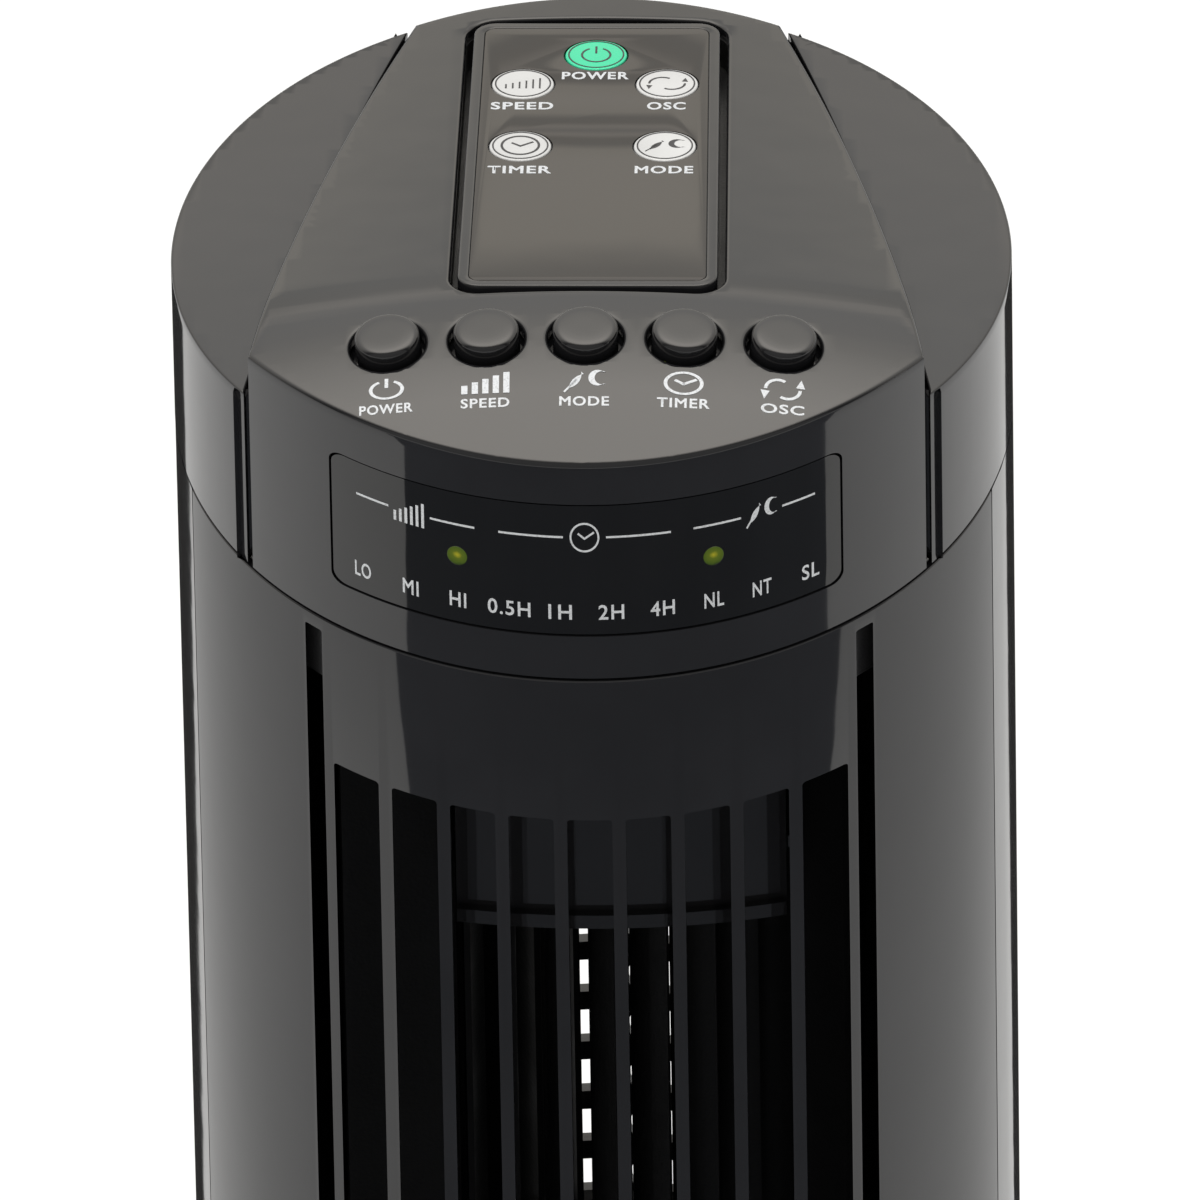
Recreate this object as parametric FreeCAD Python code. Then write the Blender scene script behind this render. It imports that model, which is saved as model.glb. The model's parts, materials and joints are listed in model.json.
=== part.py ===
"""Oscillating tower fan with a docked remote control, in millimetres.

+Z is up and the origin is the middle of the base's underside. The front of the fan faces -Y.
Each function below makes one sub-part or one family of sub-parts and writes it to parts/.
"""

import FreeCAD, Part

import math
import os

# ---------------------------------------------------------------- driving dimensions
BODY_R = 82.5            # outer radius of the tower
WALL = 2.4               # thickness of the moulded shells
SEAM_Z = 676.0           # joint between the body shells and the top cap
SEAM_GAP = 0.8           # shadow line at that joint
SHELL_Z = 70.0           # lower end of the body shells
RUNNING = 0.05           # radial clearance of a running fit
SNUG = 0.05              # radial clearance of a fixed shank in its hole

BASE_R = 125.0
BASE_SKIRT_Z = 3.5       # lower edge of the base's skirt
BASE_TOP_Z = 38.0
BASE_TOP_R = 90.0
WELL_R = 75.5            # well in the base's top, in which the crank turns
WELL_Z = 30.6
PLATE_Z = 4.5            # underside of the base's bottom plate
PLATE_T = 3.0

PIVOT_R = 9.0            # fixed post that the tower turns on
PIVOT_TOP_Z = 63.0
TURNTABLE_Z = 40.3
TURNTABLE_T = 4.7
SLEEVE_TOP_Z = 59.1

CRANK_Y = -40.0          # axis of the swing motor
CRANK_ARM = 28.0         # eccentricity of the crank pin
CRANK_PIN_R = 2.5
PIN_SLACK = 1.1          # room for the pin at each side of its slot
SCREW_R = 1.9

GRILLE_Z = (112.0, 639.0)
GRILLE_COUNT = 9
GRILLE_PITCH = 11.5
GRILLE_GAP = 8.9
GRILLE_DEPTH_R = 76.5    # back of the front grille's bars
TIE_BARS_Z = (206.0, 300.0, 394.0, 488.0)
SLOT_X = (52.3, 55.6)    # long shadow slot beside the grille
SLOT_Z = (84.0, 672.0)
FRONT_HALF_ANGLE = 72.0  # the front shell spans this much to each side of -Y
WINDOW_HALF_ANGLE = 52.0  # the rear window spans this much to each side of +Y
REAR_COLUMNS = (-57.0, -41.5, -24.9, -8.3, 8.3, 24.9, 41.5, 57.0)
REAR_SLOT = (11.0, 8.6)
REAR_PITCH_Z = 13.5
REAR_FIRST_Z = 129.8
REAR_ROWS = 38

IMP_Y = 6.0              # axis of the impeller and of its motor
IMP_R = 44.0
IMP_BLADE_R = 34.0       # inner radius of the blades
IMP_DISC_Z = (116.0, 268.0, 420.0, 588.0)  # undersides of the discs that hold the blades
IMP_BLADES = 26
IMP_FIRST_DEG = 3.1      # rest angle of the first blade
DISC_T = 2.0
DUCT_T = 1.8
DUCT_Z = (110.0, 640.0)
SHAFT_R = 4.0
TOP_PIN_R = 3.0
MOTOR_R = 40.0
MOTOR_Z = (68.0, 100.0)

CROWN_SLOPE = math.radians(12.3)   # fall of the panel's rear part
CROWN_BREAK = (-28.0, 58.7)        # where the front arc starts: Y, height over the seam
CROWN_ARC_R = 98.0
CROWN_ACROSS_R = 352.0             # curvature of the panel from side to side
WING_HEIGHT = 41.0                 # height of the wings' top over the seam, at Y = 0
WING_SLOPE = math.radians(5.6)
WING_ACROSS_R = 1200.0
WING_GAP = 1.3

LENS_X = 49.6
LENS_Z = (SEAM_Z + 11.3, SEAM_Z + 44.5)
LENS_CORNER_R = 2.6
LENS_GAP = 0.5
LED_X = (-43.7, -34.3, -25.0, -15.0, -5.0, 5.0, 15.0, 25.0, 34.3, 43.7)
LED_Z = SEAM_Z + 28.3

BUTTON_Y = -50.5
BUTTON_PITCH = 19.3
BUTTON_R = 6.4
BUTTON_HOLE_R = 7.45
BUTTON_PROUD = 2.7
BUTTON_NAMES = ("power", "speed", "mode", "timer", "osc")
PLUNGER_END_Z = SEAM_Z + 49.0
BUTTON_TRAVEL = 1.5
BOARD_Z = SEAM_Z + 43.0  # top of the control board

REMOTE_LENGTH = 109.0
REMOTE_HALF_REAR = 24.3
REMOTE_HALF_FRONT = 25.4
REMOTE_CORNER_R = 4.5
REMOTE_T = 9.0
REMOTE_Y = 19.0          # middle of the docked remote
REMOTE_SINK = 0.3        # top of the remote under the crown's middle line
DOCK_GAP = 1.5
KEY_R = 6.1
KEY_PLACES = {           # x, distance from the remote's rear edge
    "power": (0.0, 13.4),
    "speed": (-14.2, 25.5),
    "osc": (14.2, 25.5),
    "timer": (-14.2, 51.3),
    "mode": (14.2, 51.3),
}

V = FreeCAD.Vector
UP = V(0, 0, 1)
FAR = 200.0              # larger than the tower, for cutting tools
BOSS_X = 71.5            # screw bosses that join the two body shells
BOSS_Z = (92.0, 375.0, 655.0)
CAP_BOSSES = ((56.0, -46.0), (36.5, 50.0))
WING_BOSSES = ((72.5, -8.0), (60.0, 41.0))
CHASSIS_Z = (662.0, 665.0)


# ---------------------------------------------------------------- helpers
def in_xy(a, b):
    return V(a, b, 0)


def in_xz(a, b):
    return V(a, 0, b)


def in_yz(a, b):
    return V(0, a, b)


def wire(points, plane, closed=True):
    """Lines from corner to corner; an item of two points is an arc through the first to the second."""
    edges = []
    here = plane(*points[0])
    for item in points[1:] + (points[:1] if closed else []):
        if isinstance(item[0], tuple):
            end = plane(*item[1])
            edges.append(Part.Arc(here, plane(*item[0]), end).toShape())
        else:
            end = plane(*item)
            if here.distanceToPoint(end) < 1e-6:
                continue
            edges.append(Part.LineSegment(here, end).toShape())
        here = end
    return Part.Wire(edges)


def prism(points, z0, z1):
    face = Part.Face(wire(points, in_xy))
    face.translate(V(0, 0, z0))
    return face.extrude(V(0, 0, z1 - z0))


def lathe(points):
    return Part.Face(wire(points, in_xz)).revolve(V(0, 0, 0), UP, 360)


def cylinder(r, z0, z1, x=0.0, y=0.0):
    return Part.makeCylinder(r, z1 - z0, V(x, y, z0), UP)


def tube(r_out, r_in, z0, z1, x=0.0, y=0.0):
    return cylinder(r_out, z0, z1, x, y).cut(cylinder(r_in, z0, z1, x, y))


def rod_y(r, x, y0, y1, z):
    return Part.makeCylinder(r, y1 - y0, V(x, y0, z), V(0, 1, 0))


def block(x0, x1, y0, y1, z0, z1):
    return Part.makeBox(x1 - x0, y1 - y0, z1 - z0, V(x0, y0, z0))


def sector(r_out, r_in, z0, z1, middle_deg, half_deg):
    """Part of a tube, half_deg to each side of the compass direction middle_deg (0 is +X)."""
    solids = []
    for r in (r_out, r_in):
        slab = Part.makeCylinder(r, z1 - z0, V(0, 0, z0), UP, 2 * half_deg)
        slab.rotate(V(0, 0, 0), UP, middle_deg - half_deg)
        solids.append(slab)
    return solids[0].cut(solids[1])


def rounded(x0, x1, y0, y1, r):
    """Corner points of a rectangle with round corners."""
    k = r * (1 - math.sqrt(0.5))
    return [
        (x0 + r, y0), (x1 - r, y0), ((x1 - k, y0 + k), (x1, y0 + r)),
        (x1, y1 - r), ((x1 - k, y1 - k), (x1 - r, y1)),
        (x0 + r, y1), ((x0 + k, y1 - k), (x0, y1 - r)),
        (x0, y0 + r), ((x0 + k, y0 + k), (x0 + r, y0)),
    ]


def screw(head_r, head_t, shank_r, length):
    """Pan-head screw standing on its head's underside at the origin, shank towards +Z."""
    head = Part.makeCylinder(head_r, head_t, V(0, 0, -head_t))
    head = head.makeFillet(head_t * 0.45, [head.Edges[2]])
    drive = block(-head_r * 0.6, head_r * 0.6, -0.4, 0.4, -head_t, -head_t * 0.55)
    cross = drive.copy()
    cross.rotate(V(0, 0, 0), UP, 90)
    shank = Part.makeCylinder(shank_r, length - 1.5)
    tip = Part.makeCone(shank_r, shank_r * 0.3, 1.5, V(0, 0, length - 1.5))
    return head.cut(drive).cut(cross).fuse([shank, tip]).removeSplitter()


def moved(shape, x, y, z):
    copy = shape.copy()
    copy.translate(V(x, y, z))
    return copy


def turned(shape, axis, degrees):
    copy = shape.copy()
    copy.rotate(V(0, 0, 0), axis, degrees)
    return copy


def around(count, radius, first_deg=0.0):
    """Evenly spaced places on a circle."""
    step = 2 * math.pi / count
    first = math.radians(first_deg)
    return [(radius * math.cos(first + i * step), radius * math.sin(first + i * step)) for i in range(count)]


def write(name, shape):
    shapes = shape if isinstance(shape, list) else [shape]
    solids = [s for item in shapes for s in item.Solids]
    whole = solids[0] if len(solids) == 1 else Part.makeCompound(solids)
    whole.exportStep("parts/" + name + ".step")
    volume = sum(s.Volume for s in solids) / 1000
    print("%-22s %3d solids %8.2f cm3 %s" % (name, len(solids), volume, "" if whole.isValid() else "INVALID"))


# ---------------------------------------------------------------- base
BASE_BOSSES = around(4, 104.0, 45.0)


def base_shell():
    inner_top = BASE_TOP_Z - 2.6
    shell = lathe([
        (BASE_R - 2.6, BASE_SKIRT_Z), (BASE_R, BASE_SKIRT_Z), (BASE_R, 17.0),
        ((111.5, 31.5), (BASE_TOP_R, BASE_TOP_Z)),
        (WELL_R, BASE_TOP_Z), (WELL_R, WELL_Z), (PIVOT_R + SNUG, WELL_Z), (PIVOT_R + SNUG, WELL_Z - 2.6),
        (WELL_R + 2.6, WELL_Z - 2.6), (WELL_R + 2.6, inner_top), (BASE_TOP_R - 0.8, inner_top),
        ((109.8, 29.2), (BASE_R - 2.6, 16.2)),
    ])
    under_dome = lathe([(60.0, PLATE_Z), (BASE_R - 1.5, PLATE_Z), (BASE_R - 1.5, 17.0),
                        ((110.7, 30.4), (BASE_TOP_R, BASE_TOP_Z - 1.2)), (60.0, BASE_TOP_Z - 1.2)])
    bosses = [cylinder(5.0, PLATE_Z + PLATE_T, BASE_TOP_Z, x, y).common(under_dome) for x, y in BASE_BOSSES]
    shell = shell.fuse(bosses)
    holes = [cylinder(SCREW_R + SNUG, 0, 22.0, x, y) for x, y in BASE_BOSSES]
    holes.append(cylinder(5.0, 20.0, 40.0, 0, CRANK_Y))
    holes += [cylinder(1.5 + SNUG, 20.0, 40.0, x, CRANK_Y) for x in (-30.0, 30.0)]
    holes.append(rod_y(5.0 + SNUG, 0, 110.0, 130.0, 11.0))
    write("base_shell", shell.cut(holes).removeSplitter())


def base_plate():
    plate = cylinder(BASE_R - 3.0, PLATE_Z, PLATE_Z + PLATE_T)
    plate = plate.cut([cylinder(SCREW_R + 0.3, 0, 20, x, y) for x, y in BASE_BOSSES])
    ribs = [tube(60.0, 58.0, 7.5, 10.5), tube(30.0, 28.0, 7.5, 9.5)]
    gland_room = block(-8.5, 8.5, 111.5, BASE_R, 0, 20)
    write("base_plate", plate.fuse(ribs).cut(gland_room).removeSplitter())


def rubber_feet():
    foot = lathe([(0, 0), (8.5, 0), ((9.6, 0.4), (10.0, 1.5)), (10.0, PLATE_Z), (0, PLATE_Z)])
    write("rubber_feet", [moved(foot, x, y, 0) for x, y in around(6, 100.0, 0.0)])


def base_weight():
    ring = lathe([(77.0, 7.5), (97.0, 7.5), (97.0, 14.5), (95.5, 16.0), (78.5, 16.0), (77.0, 14.5)])
    write("base_weight", ring)


def base_screws():
    plate_screw = screw(4.0, 1.9, SCREW_R, 16.0)
    screws = [moved(plate_screw, x, y, PLATE_Z) for x, y in BASE_BOSSES]
    ear_screw = screw(2.8, 1.6, 1.5, 4.6)
    screws += [moved(ear_screw, x, CRANK_Y, 26.0) for x in (-30.0, 30.0)]
    write("base_screws", screws)


def cord_gland():
    """Flanged bush in the skirt, through which a supply cord would enter."""
    body = rod_y(5.0, 0, 112.5, 124.6, 11.0).fuse(rod_y(6.2, 0, 116.0, 121.4, 11.0))
    write("cord_gland", body.cut(rod_y(3.6, 0, 100.0, 130.0, 11.0)).removeSplitter())


def pivot_post():
    groove_z = SLEEVE_TOP_Z + 0.3
    post = lathe([
        (6.0, 24.0), (14.0, 24.0), (14.0, 28.0), (PIVOT_R, 28.0), (PIVOT_R, groove_z),
        (8.0, groove_z), (8.0, groove_z + 1.6), (PIVOT_R, groove_z + 1.6), (PIVOT_R, PIVOT_TOP_Z),
        (6.0, PIVOT_TOP_Z),
    ])
    write("pivot_post", post)
    clip = tube(12.0, 8.0 + 0.02, groove_z + 0.1, groove_z + 1.5)
    write("post_clip", clip.cut(block(-3.5, 3.5, 0, 20, groove_z - 1, groove_z + 3)))
    ring = lathe([
        (77.0, BASE_TOP_Z), (81.0, BASE_TOP_Z), (81.0, 39.6), (80.6, 40.0), (77.4, 40.0), (77.0, 39.6),
    ])
    write("bearing_ring", ring)


def swing_drive():
    can = cylinder(25.0, 12.0, 26.0, 0, CRANK_Y)
    can = can.makeFillet(1.5, [e for e in can.Edges if e.Closed])
    ears = prism(rounded(-34.0, 34.0, CRANK_Y - 5.0, CRANK_Y + 5.0, 4.0), 26.0, 27.9)
    nose = cylinder(8.0, 25.0, 27.9, 0, CRANK_Y)
    motor = can.fuse([ears, nose])
    bore = cylinder(3.5 + RUNNING, 18.0, 40.0, 0, CRANK_Y)
    ear_holes = [cylinder(1.5 + SNUG, 20.0, 40.0, x, CRANK_Y) for x in (-30.0, 30.0)]
    write("swing_motor", motor.cut([bore] + ear_holes).removeSplitter())

    pin_y = CRANK_Y - CRANK_ARM
    arm = prism([
        (-7.5, CRANK_Y), (-5.0, pin_y), ((0, pin_y - 5.0), (5.0, pin_y)), (7.5, CRANK_Y),
        ((0, CRANK_Y + 7.5), (-7.5, CRANK_Y)),
    ], 31.4, 35.6)
    shaft = cylinder(3.5, 18.5, 37.0, 0, CRANK_Y)
    pin = cylinder(CRANK_PIN_R, 35.0, 44.2, 0, pin_y)
    write("swing_crank", arm.fuse([shaft, pin]).removeSplitter())


# ---------------------------------------------------------------- tower, lower end
TURNTABLE_SCREWS = around(4, 60.0, 45.0)


def turntable():
    z1 = TURNTABLE_Z + TURNTABLE_T
    plate = cylinder(BODY_R - 1.0, TURNTABLE_Z, z1)
    sleeve = cylinder(13.0, TURNTABLE_Z, SLEEVE_TOP_Z)
    half = CRANK_PIN_R + PIN_SLACK
    near = math.hypot(CRANK_Y, CRANK_ARM) - PIN_SLACK
    far = CRANK_ARM - CRANK_Y + PIN_SLACK
    slot = prism([
        (-half, -near), (-half, -far), ((0, -far - half), (half, -far)), (half, -near),
        ((0, -near + half), (-half, -near)),
    ], 0, 50)
    holes = [cylinder(SCREW_R + SNUG, 0, 60, x, y) for x, y in TURNTABLE_SCREWS]
    holes.append(cylinder(PIVOT_R + RUNNING, 0, 80))
    write("turntable", plate.fuse(sleeve).cut(holes + [slot]).removeSplitter())


def bottom_housing():
    floor_z = TURNTABLE_Z + TURNTABLE_T
    cup = lathe([
        (40.0, floor_z), (79.5, floor_z), ((81.6, 45.9), (BODY_R, 48.0)), (BODY_R, SHELL_Z - SEAM_GAP),
        (BODY_R - WALL - 0.4, SHELL_Z - SEAM_GAP), (BODY_R - WALL - 0.4, SHELL_Z + 6.0),
        (BODY_R - WALL - 2.4, SHELL_Z + 6.0), (BODY_R - WALL - 2.4, 48.5), (40.0, 48.5),
    ])
    bosses = [cylinder(4.5, 47.0, 60.0, x, y) for x, y in TURNTABLE_SCREWS]
    holes = [cylinder(SCREW_R + SNUG, 40.0, 61.0, x, y) for x, y in TURNTABLE_SCREWS]
    write("bottom_housing", cup.fuse(bosses).cut(holes).removeSplitter())
    can = block(-20.0, 20.0, 52.0, 66.0, 48.5, 60.0)
    write("capacitor", can.makeFillet(1.5, [e for e in can.Edges if abs(e.tangentAt(0).z) > 0.9]))


def tower_screws():
    tapping = screw(3.4, 2.0, SCREW_R, 16.0)
    screws = [moved(tapping, x, y, TURNTABLE_Z) for x, y in TURNTABLE_SCREWS]
    along_y = turned(screw(3.4, 2.2, SCREW_R, 34.0), V(1, 0, 0), 90)
    screws += [moved(along_y, side * BOSS_X, 18.0, z) for side in (-1, 1) for z in BOSS_Z]
    for side in (-1, 1):
        screws += [moved(tapping, side * x, y, CHASSIS_Z[0]) for x, y in CAP_BOSSES + WING_BOSSES]
    screws += [moved(tapping, x, y, MOTOR_Z[1] - 3.0) for x, y in motor_lugs()]
    write("tower_screws", screws)


# ---------------------------------------------------------------- tower, body shells
def front_shell():
    z0, z1 = SHELL_Z, SEAM_Z - SEAM_GAP
    shell = sector(BODY_R, BODY_R - WALL, z0, z1, 270, FRONT_HALF_ANGLE)
    backing = sector(BODY_R - 1.0, GRILLE_DEPTH_R, GRILLE_Z[0] - 8, GRILLE_Z[1] + 6, 270, 38.2)
    bosses = [rod_y(4.2, side * BOSS_X, -38.0, -2.0, z) for side in (-1, 1) for z in BOSS_Z]
    bosses = [b.common(cylinder(BODY_R - 1.0, 0, 700)) for b in bosses]
    shell = shell.fuse([backing] + bosses)
    half = (GRILLE_COUNT - 1) / 2
    middles = [(i - half) * GRILLE_PITCH for i in range(GRILLE_COUNT)]
    cuts = []
    for x in middles:
        face = Part.Face(wire(rounded(x - GRILLE_GAP / 2, x + GRILLE_GAP / 2, *GRILLE_Z, 0.8), in_xz))
        face.translate(V(0, -95, 0))
        cuts.append(face.extrude(V(0, 60, 0)))
    for side in (-1, 1):
        x0, x1 = sorted((side * SLOT_X[0], side * SLOT_X[1]))
        cuts.append(block(x0, x1, -95.0, -45.0, *SLOT_Z))
        cuts += [rod_y(SCREW_R + SNUG, side * BOSS_X, -19.0, 0.0, z) for z in BOSS_Z]
    shell = shell.cut(cuts)
    ties = [sector(GRILLE_DEPTH_R + 2.0, GRILLE_DEPTH_R, z - 1.5, z + 1.5, 270, 38.0) for z in TIE_BARS_Z]
    write("front_shell", shell.fuse(ties).removeSplitter())


def rear_shell():
    z0, z1 = SHELL_Z, SEAM_Z - SEAM_GAP
    shell = sector(BODY_R, BODY_R - WALL, z0, z1, 90, 180 - FRONT_HALF_ANGLE - 0.3)
    bosses = [rod_y(4.8, side * BOSS_X, -1.7, 42.0, z) for side in (-1, 1) for z in BOSS_Z]
    bosses = [b.common(cylinder(BODY_R - 0.5, 0, 700)) for b in bosses]
    window = sector(FAR, 20.0, GRILLE_Z[0], GRILLE_Z[1] + 1, 90, WINDOW_HALF_ANGLE)
    cuts = [window]
    for side in (-1, 1):
        for z in BOSS_Z:
            cuts.append(rod_y(SCREW_R + 0.2, side * BOSS_X, -5.0, 30.0, z))
            cuts.append(rod_y(3.7, side * BOSS_X, 18.0, 60.0, z))
    write("rear_shell", shell.fuse(bosses).cut(cuts).removeSplitter())


def rear_grille():
    z0, z1 = GRILLE_Z[0] + 0.4, GRILLE_Z[1] + 0.6
    panel = sector(BODY_R - 0.5, BODY_R - 0.5 - WALL, z0, z1, 90, WINDOW_HALF_ANGLE - 0.4)
    half_w, half_h = REAR_SLOT[0] / 2, REAR_SLOT[1] / 2
    cuts = []
    for x in REAR_COLUMNS:
        for i in range(REAR_ROWS):
            z = REAR_FIRST_Z + i * REAR_PITCH_Z
            face = Part.Face(wire(rounded(x - half_w, x + half_w, z - half_h, z + half_h, 2.8), in_xz))
            face.translate(V(0, 40, 0))
            cuts.append(face.extrude(V(0, 50, 0)))
    write("rear_grille", panel.cut(cuts))


# ---------------------------------------------------------------- air duct
def around_impeller(radius, degrees):
    angle = math.radians(degrees)
    return (radius * math.cos(angle), IMP_Y + radius * math.sin(angle))


LEFT_WALL = [
    (-50.0, -54.5), (-29.5, -49.5), around_impeller(51.0, 234.0),
    (around_impeller(50.5, 200.0), around_impeller(50.5, 168.0)), (-60.5, 44.5),
]
RIGHT_WALL = [
    (50.0, -54.5), (41.5, -48.0), (46.0, -34.0), ((53.5, -4.0), (56.0, 24.0)), (60.5, 44.5),
]


def duct_wall(points, thickness):
    path = wire(points, in_xy, closed=False)
    face = path.makeOffset2D(thickness, 0, True, True)
    face.translate(V(0, 0, DUCT_Z[0]))
    return face.extrude(V(0, 0, DUCT_Z[1] - DUCT_Z[0]))


def air_duct():
    left, right = duct_wall(LEFT_WALL, DUCT_T), duct_wall(RIGHT_WALL, -DUCT_T)
    write("duct_left", left)
    write("duct_right", right)
    floor = cylinder(GRILLE_DEPTH_R - 0.6, 106.0, DUCT_Z[0]).cut(cylinder(16.0, 90, 120, 0, IMP_Y))
    lugs = motor_lugs()
    floor = floor.fuse([cylinder(4.5, MOTOR_Z[1], 107.0, x, y) for x, y in lugs])
    floor = floor.cut([cylinder(SCREW_R + SNUG, 90, 120, x, y) for x, y in lugs])
    notch = [block(BOSS_X - 6, FAR, -45, 45, 100, 115), block(-FAR, 6 - BOSS_X, -45, 45, 100, 115)]
    write("duct_bottom", floor.cut(notch).removeSplitter())

    bearing_z = 598.0
    plate = prism([(-57.0, 40.0), (-46.0, -44.0), (44.0, -44.0), (57.0, 40.0)], bearing_z, bearing_z + 3)
    walls = [duct_wall(LEFT_WALL, DUCT_T + 0.5), duct_wall(RIGHT_WALL, -DUCT_T - 0.5),
             duct_wall(LEFT_WALL, -0.5), duct_wall(RIGHT_WALL, 0.5)]
    plate = max(plate.cut(walls).Solids, key=lambda s: s.Volume)
    hood_y, hood_r = -64.5, 170.0
    hood = tube(hood_r, hood_r - 2.2, bearing_z - 2, DUCT_Z[1], 0, hood_y + hood_r)
    lip = tube(hood_r + 1.6, hood_r - 2.2, bearing_z - 2, bearing_z + 1.4, 0, hood_y + hood_r)
    shelf = block(-27.0, 38.0, -63.5, -40.0, bearing_z, bearing_z + 3)
    keep = block(-27.0, 38.0, -80.0, -45.0, 0, 700)
    hood = hood.fuse(lip).common(keep)
    shelf = shelf.common(cylinder(hood_r - 1, 0, 700, 0, hood_y + hood_r))
    top = plate.fuse([hood, shelf]).cut(walls + [cylinder(8.0, 590, 610, 0, IMP_Y)])
    write("duct_top", max(top.Solids, key=lambda s: s.Volume).removeSplitter())
    bush = tube(8.0, TOP_PIN_R + RUNNING, 596.0, 604.0, 0, IMP_Y)
    flange = tube(10.5, TOP_PIN_R + RUNNING, 594.5, bearing_z, 0, IMP_Y)
    write("top_bearing", flange.fuse(bush).removeSplitter())


# ---------------------------------------------------------------- impeller and its motor
def impeller():
    z0, z1 = IMP_DISC_Z[0], IMP_DISC_Z[-1] + DISC_T
    disc = tube(IMP_R, 12.0, 0, DISC_T, 0, IMP_Y)
    windows = [cylinder(6.5, -1, DISC_T + 1, x, y + IMP_Y) for x, y in around(6, 23.0)]
    open_disc = disc.cut(windows)
    end_disc = tube(IMP_R, 5.0, 0, DISC_T, 0, IMP_Y)
    discs = [moved(end_disc, 0, 0, IMP_DISC_Z[0]), moved(end_disc, 0, 0, IMP_DISC_Z[-1])]
    discs += [moved(open_disc, 0, 0, z) for z in IMP_DISC_Z[1:-1]]
    write("impeller_discs", discs)

    blade_wire = [(IMP_BLADE_R, 0.0), ((39.2, 1.4), (IMP_R - 0.4, 6.0)), (IMP_R - 1.5, 6.6),
                  ((38.4, 2.6), (IMP_BLADE_R, 1.3))]
    blades = []
    for low, high in zip(IMP_DISC_Z, IMP_DISC_Z[1:]):
        blade = prism(blade_wire, low + DISC_T, high)
        for i in range(IMP_BLADES):
            degrees = IMP_FIRST_DEG + 360.0 / IMP_BLADES * i
            blades.append(moved(turned(blade, UP, degrees), 0, IMP_Y, 0))
    write("impeller_blades", blades)

    hub = lathe([(SHAFT_R, z0 + DISC_T), (14.0, z0 + DISC_T), (11.0, z0 + 20.0), (SHAFT_R, z0 + 20.0)])
    write("impeller_hub", moved(hub, 0, IMP_Y, 0))
    pin = cylinder(TOP_PIN_R, z1 - 10.0, z1 + 13.0, 0, IMP_Y)
    seat = tube(5.0, TOP_PIN_R, z1 - 10.0, z1, 0, IMP_Y)
    write("impeller_top_pin", pin.fuse(seat).removeSplitter())
    shaft = cylinder(SHAFT_R, MOTOR_Z[0] - 3.0, z0 + 19.0, 0, IMP_Y)
    write("motor_shaft", shaft.makeFillet(0.6, [e for e in shaft.Edges if e.Closed]))


def motor_lugs():
    return [(x, y + IMP_Y) for x, y in around(3, 46.0, 30.0)]


def motor():
    z0, z1 = MOTOR_Z
    middle = (z0 + z1) / 2
    bush_r = 9.0
    lower = lathe([
        (bush_r, z0), (34.0, z0), ((38.2, z0 + 1.8), (MOTOR_R, z0 + 6.0)), (MOTOR_R, middle),
        (MOTOR_R - 1.5, middle), (MOTOR_R - 1.5, z0 + 6.0), ((37.1, z0 + 2.9), (34.0, z0 + 1.5)),
        (bush_r, z0 + 1.5),
    ])
    upper = lower.mirror(V(0, 0, middle), UP)
    lugs = [cylinder(5.0, z1 - 3.0, z1, x, y - IMP_Y) for x, y in motor_lugs()]
    arms = [turned(block(34.0, 46.0, -5.0, 5.0, z1 - 3.0, z1), UP, 30.0 + 120.0 * i) for i in range(3)]
    inside = cylinder(MOTOR_R - 1.5, middle, z1 - 1.5)
    holes = [cylinder(SCREW_R + SNUG, 60, 120, x, y - IMP_Y) for x, y in motor_lugs()]
    upper = upper.fuse(lugs + arms).cut([inside] + holes).removeSplitter()
    write("motor_bell_lower", moved(lower, 0, IMP_Y, 0))
    write("motor_bell_upper", moved(upper, 0, IMP_Y, 0))
    bush = tube(bush_r, SHAFT_R + RUNNING, -0.4, 4.0, 0, IMP_Y)
    write("motor_bushes", [moved(bush, 0, 0, z0), moved(bush, 0, 0, z1 - 3.6)])
    stack = tube(MOTOR_R - 1.5, 22.0, middle - 7.0, middle + 7.0, 0, IMP_Y)
    coils = tube(34.0, 24.0, middle - 11.5, middle + 11.5, 0, IMP_Y)
    write("motor_stator", stack.fuse(coils).removeSplitter())
    write("motor_rotor", tube(21.4, SHAFT_R, middle - 9.0, middle + 9.0, 0, IMP_Y))


# ---------------------------------------------------------------- top cap
def crown(skin):
    """Everything under the centre panel's top surface, lowered square to it by skin."""
    s = CROWN_SLOPE
    y0, z0 = CROWN_BREAK
    y0, z0 = y0 - skin * math.sin(s), z0 - skin * math.cos(s)
    r = CROWN_ARC_R - skin
    cy, cz = y0 - r * math.sin(s), z0 - r * math.cos(s)

    def on_arc(turn):
        return (cy + r * math.sin(s - turn), cz + r * math.cos(s - turn))

    end = math.radians(46.0)
    rear = (100.0, z0 - (100.0 - y0) * math.tan(s))
    profile = [rear, (y0, z0), (on_arc(end / 2), on_arc(end)), (on_arc(end)[0], -40.0), (100.0, -40.0)]
    axis_z = CROWN_BREAK[1] - CROWN_ACROSS_R
    return swept_across(profile, axis_z, 24.0)


def wing_crown(skin):
    drop = skin / math.cos(WING_SLOPE)
    rise = 100.0 * math.tan(WING_SLOPE)
    profile = [(100.0, WING_HEIGHT - rise - drop), (-100.0, WING_HEIGHT + rise - drop), (-100.0, -40.0),
               (100.0, -40.0)]
    return swept_across(profile, WING_HEIGHT - WING_ACROSS_R, 6.0)


def swept_across(profile, axis_z, half_deg):
    """Turns an outline in the YZ plane about a low axis along Y, which crowns it from side to side."""
    face = Part.Face(wire(profile, in_yz))
    centre = V(0, 0, axis_z)
    face.rotate(centre, V(0, 1, 0), -half_deg)
    solid = face.revolve(centre, V(0, 1, 0), 2 * half_deg)
    solid.translate(V(0, 0, SEAM_Z))
    return solid


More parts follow.
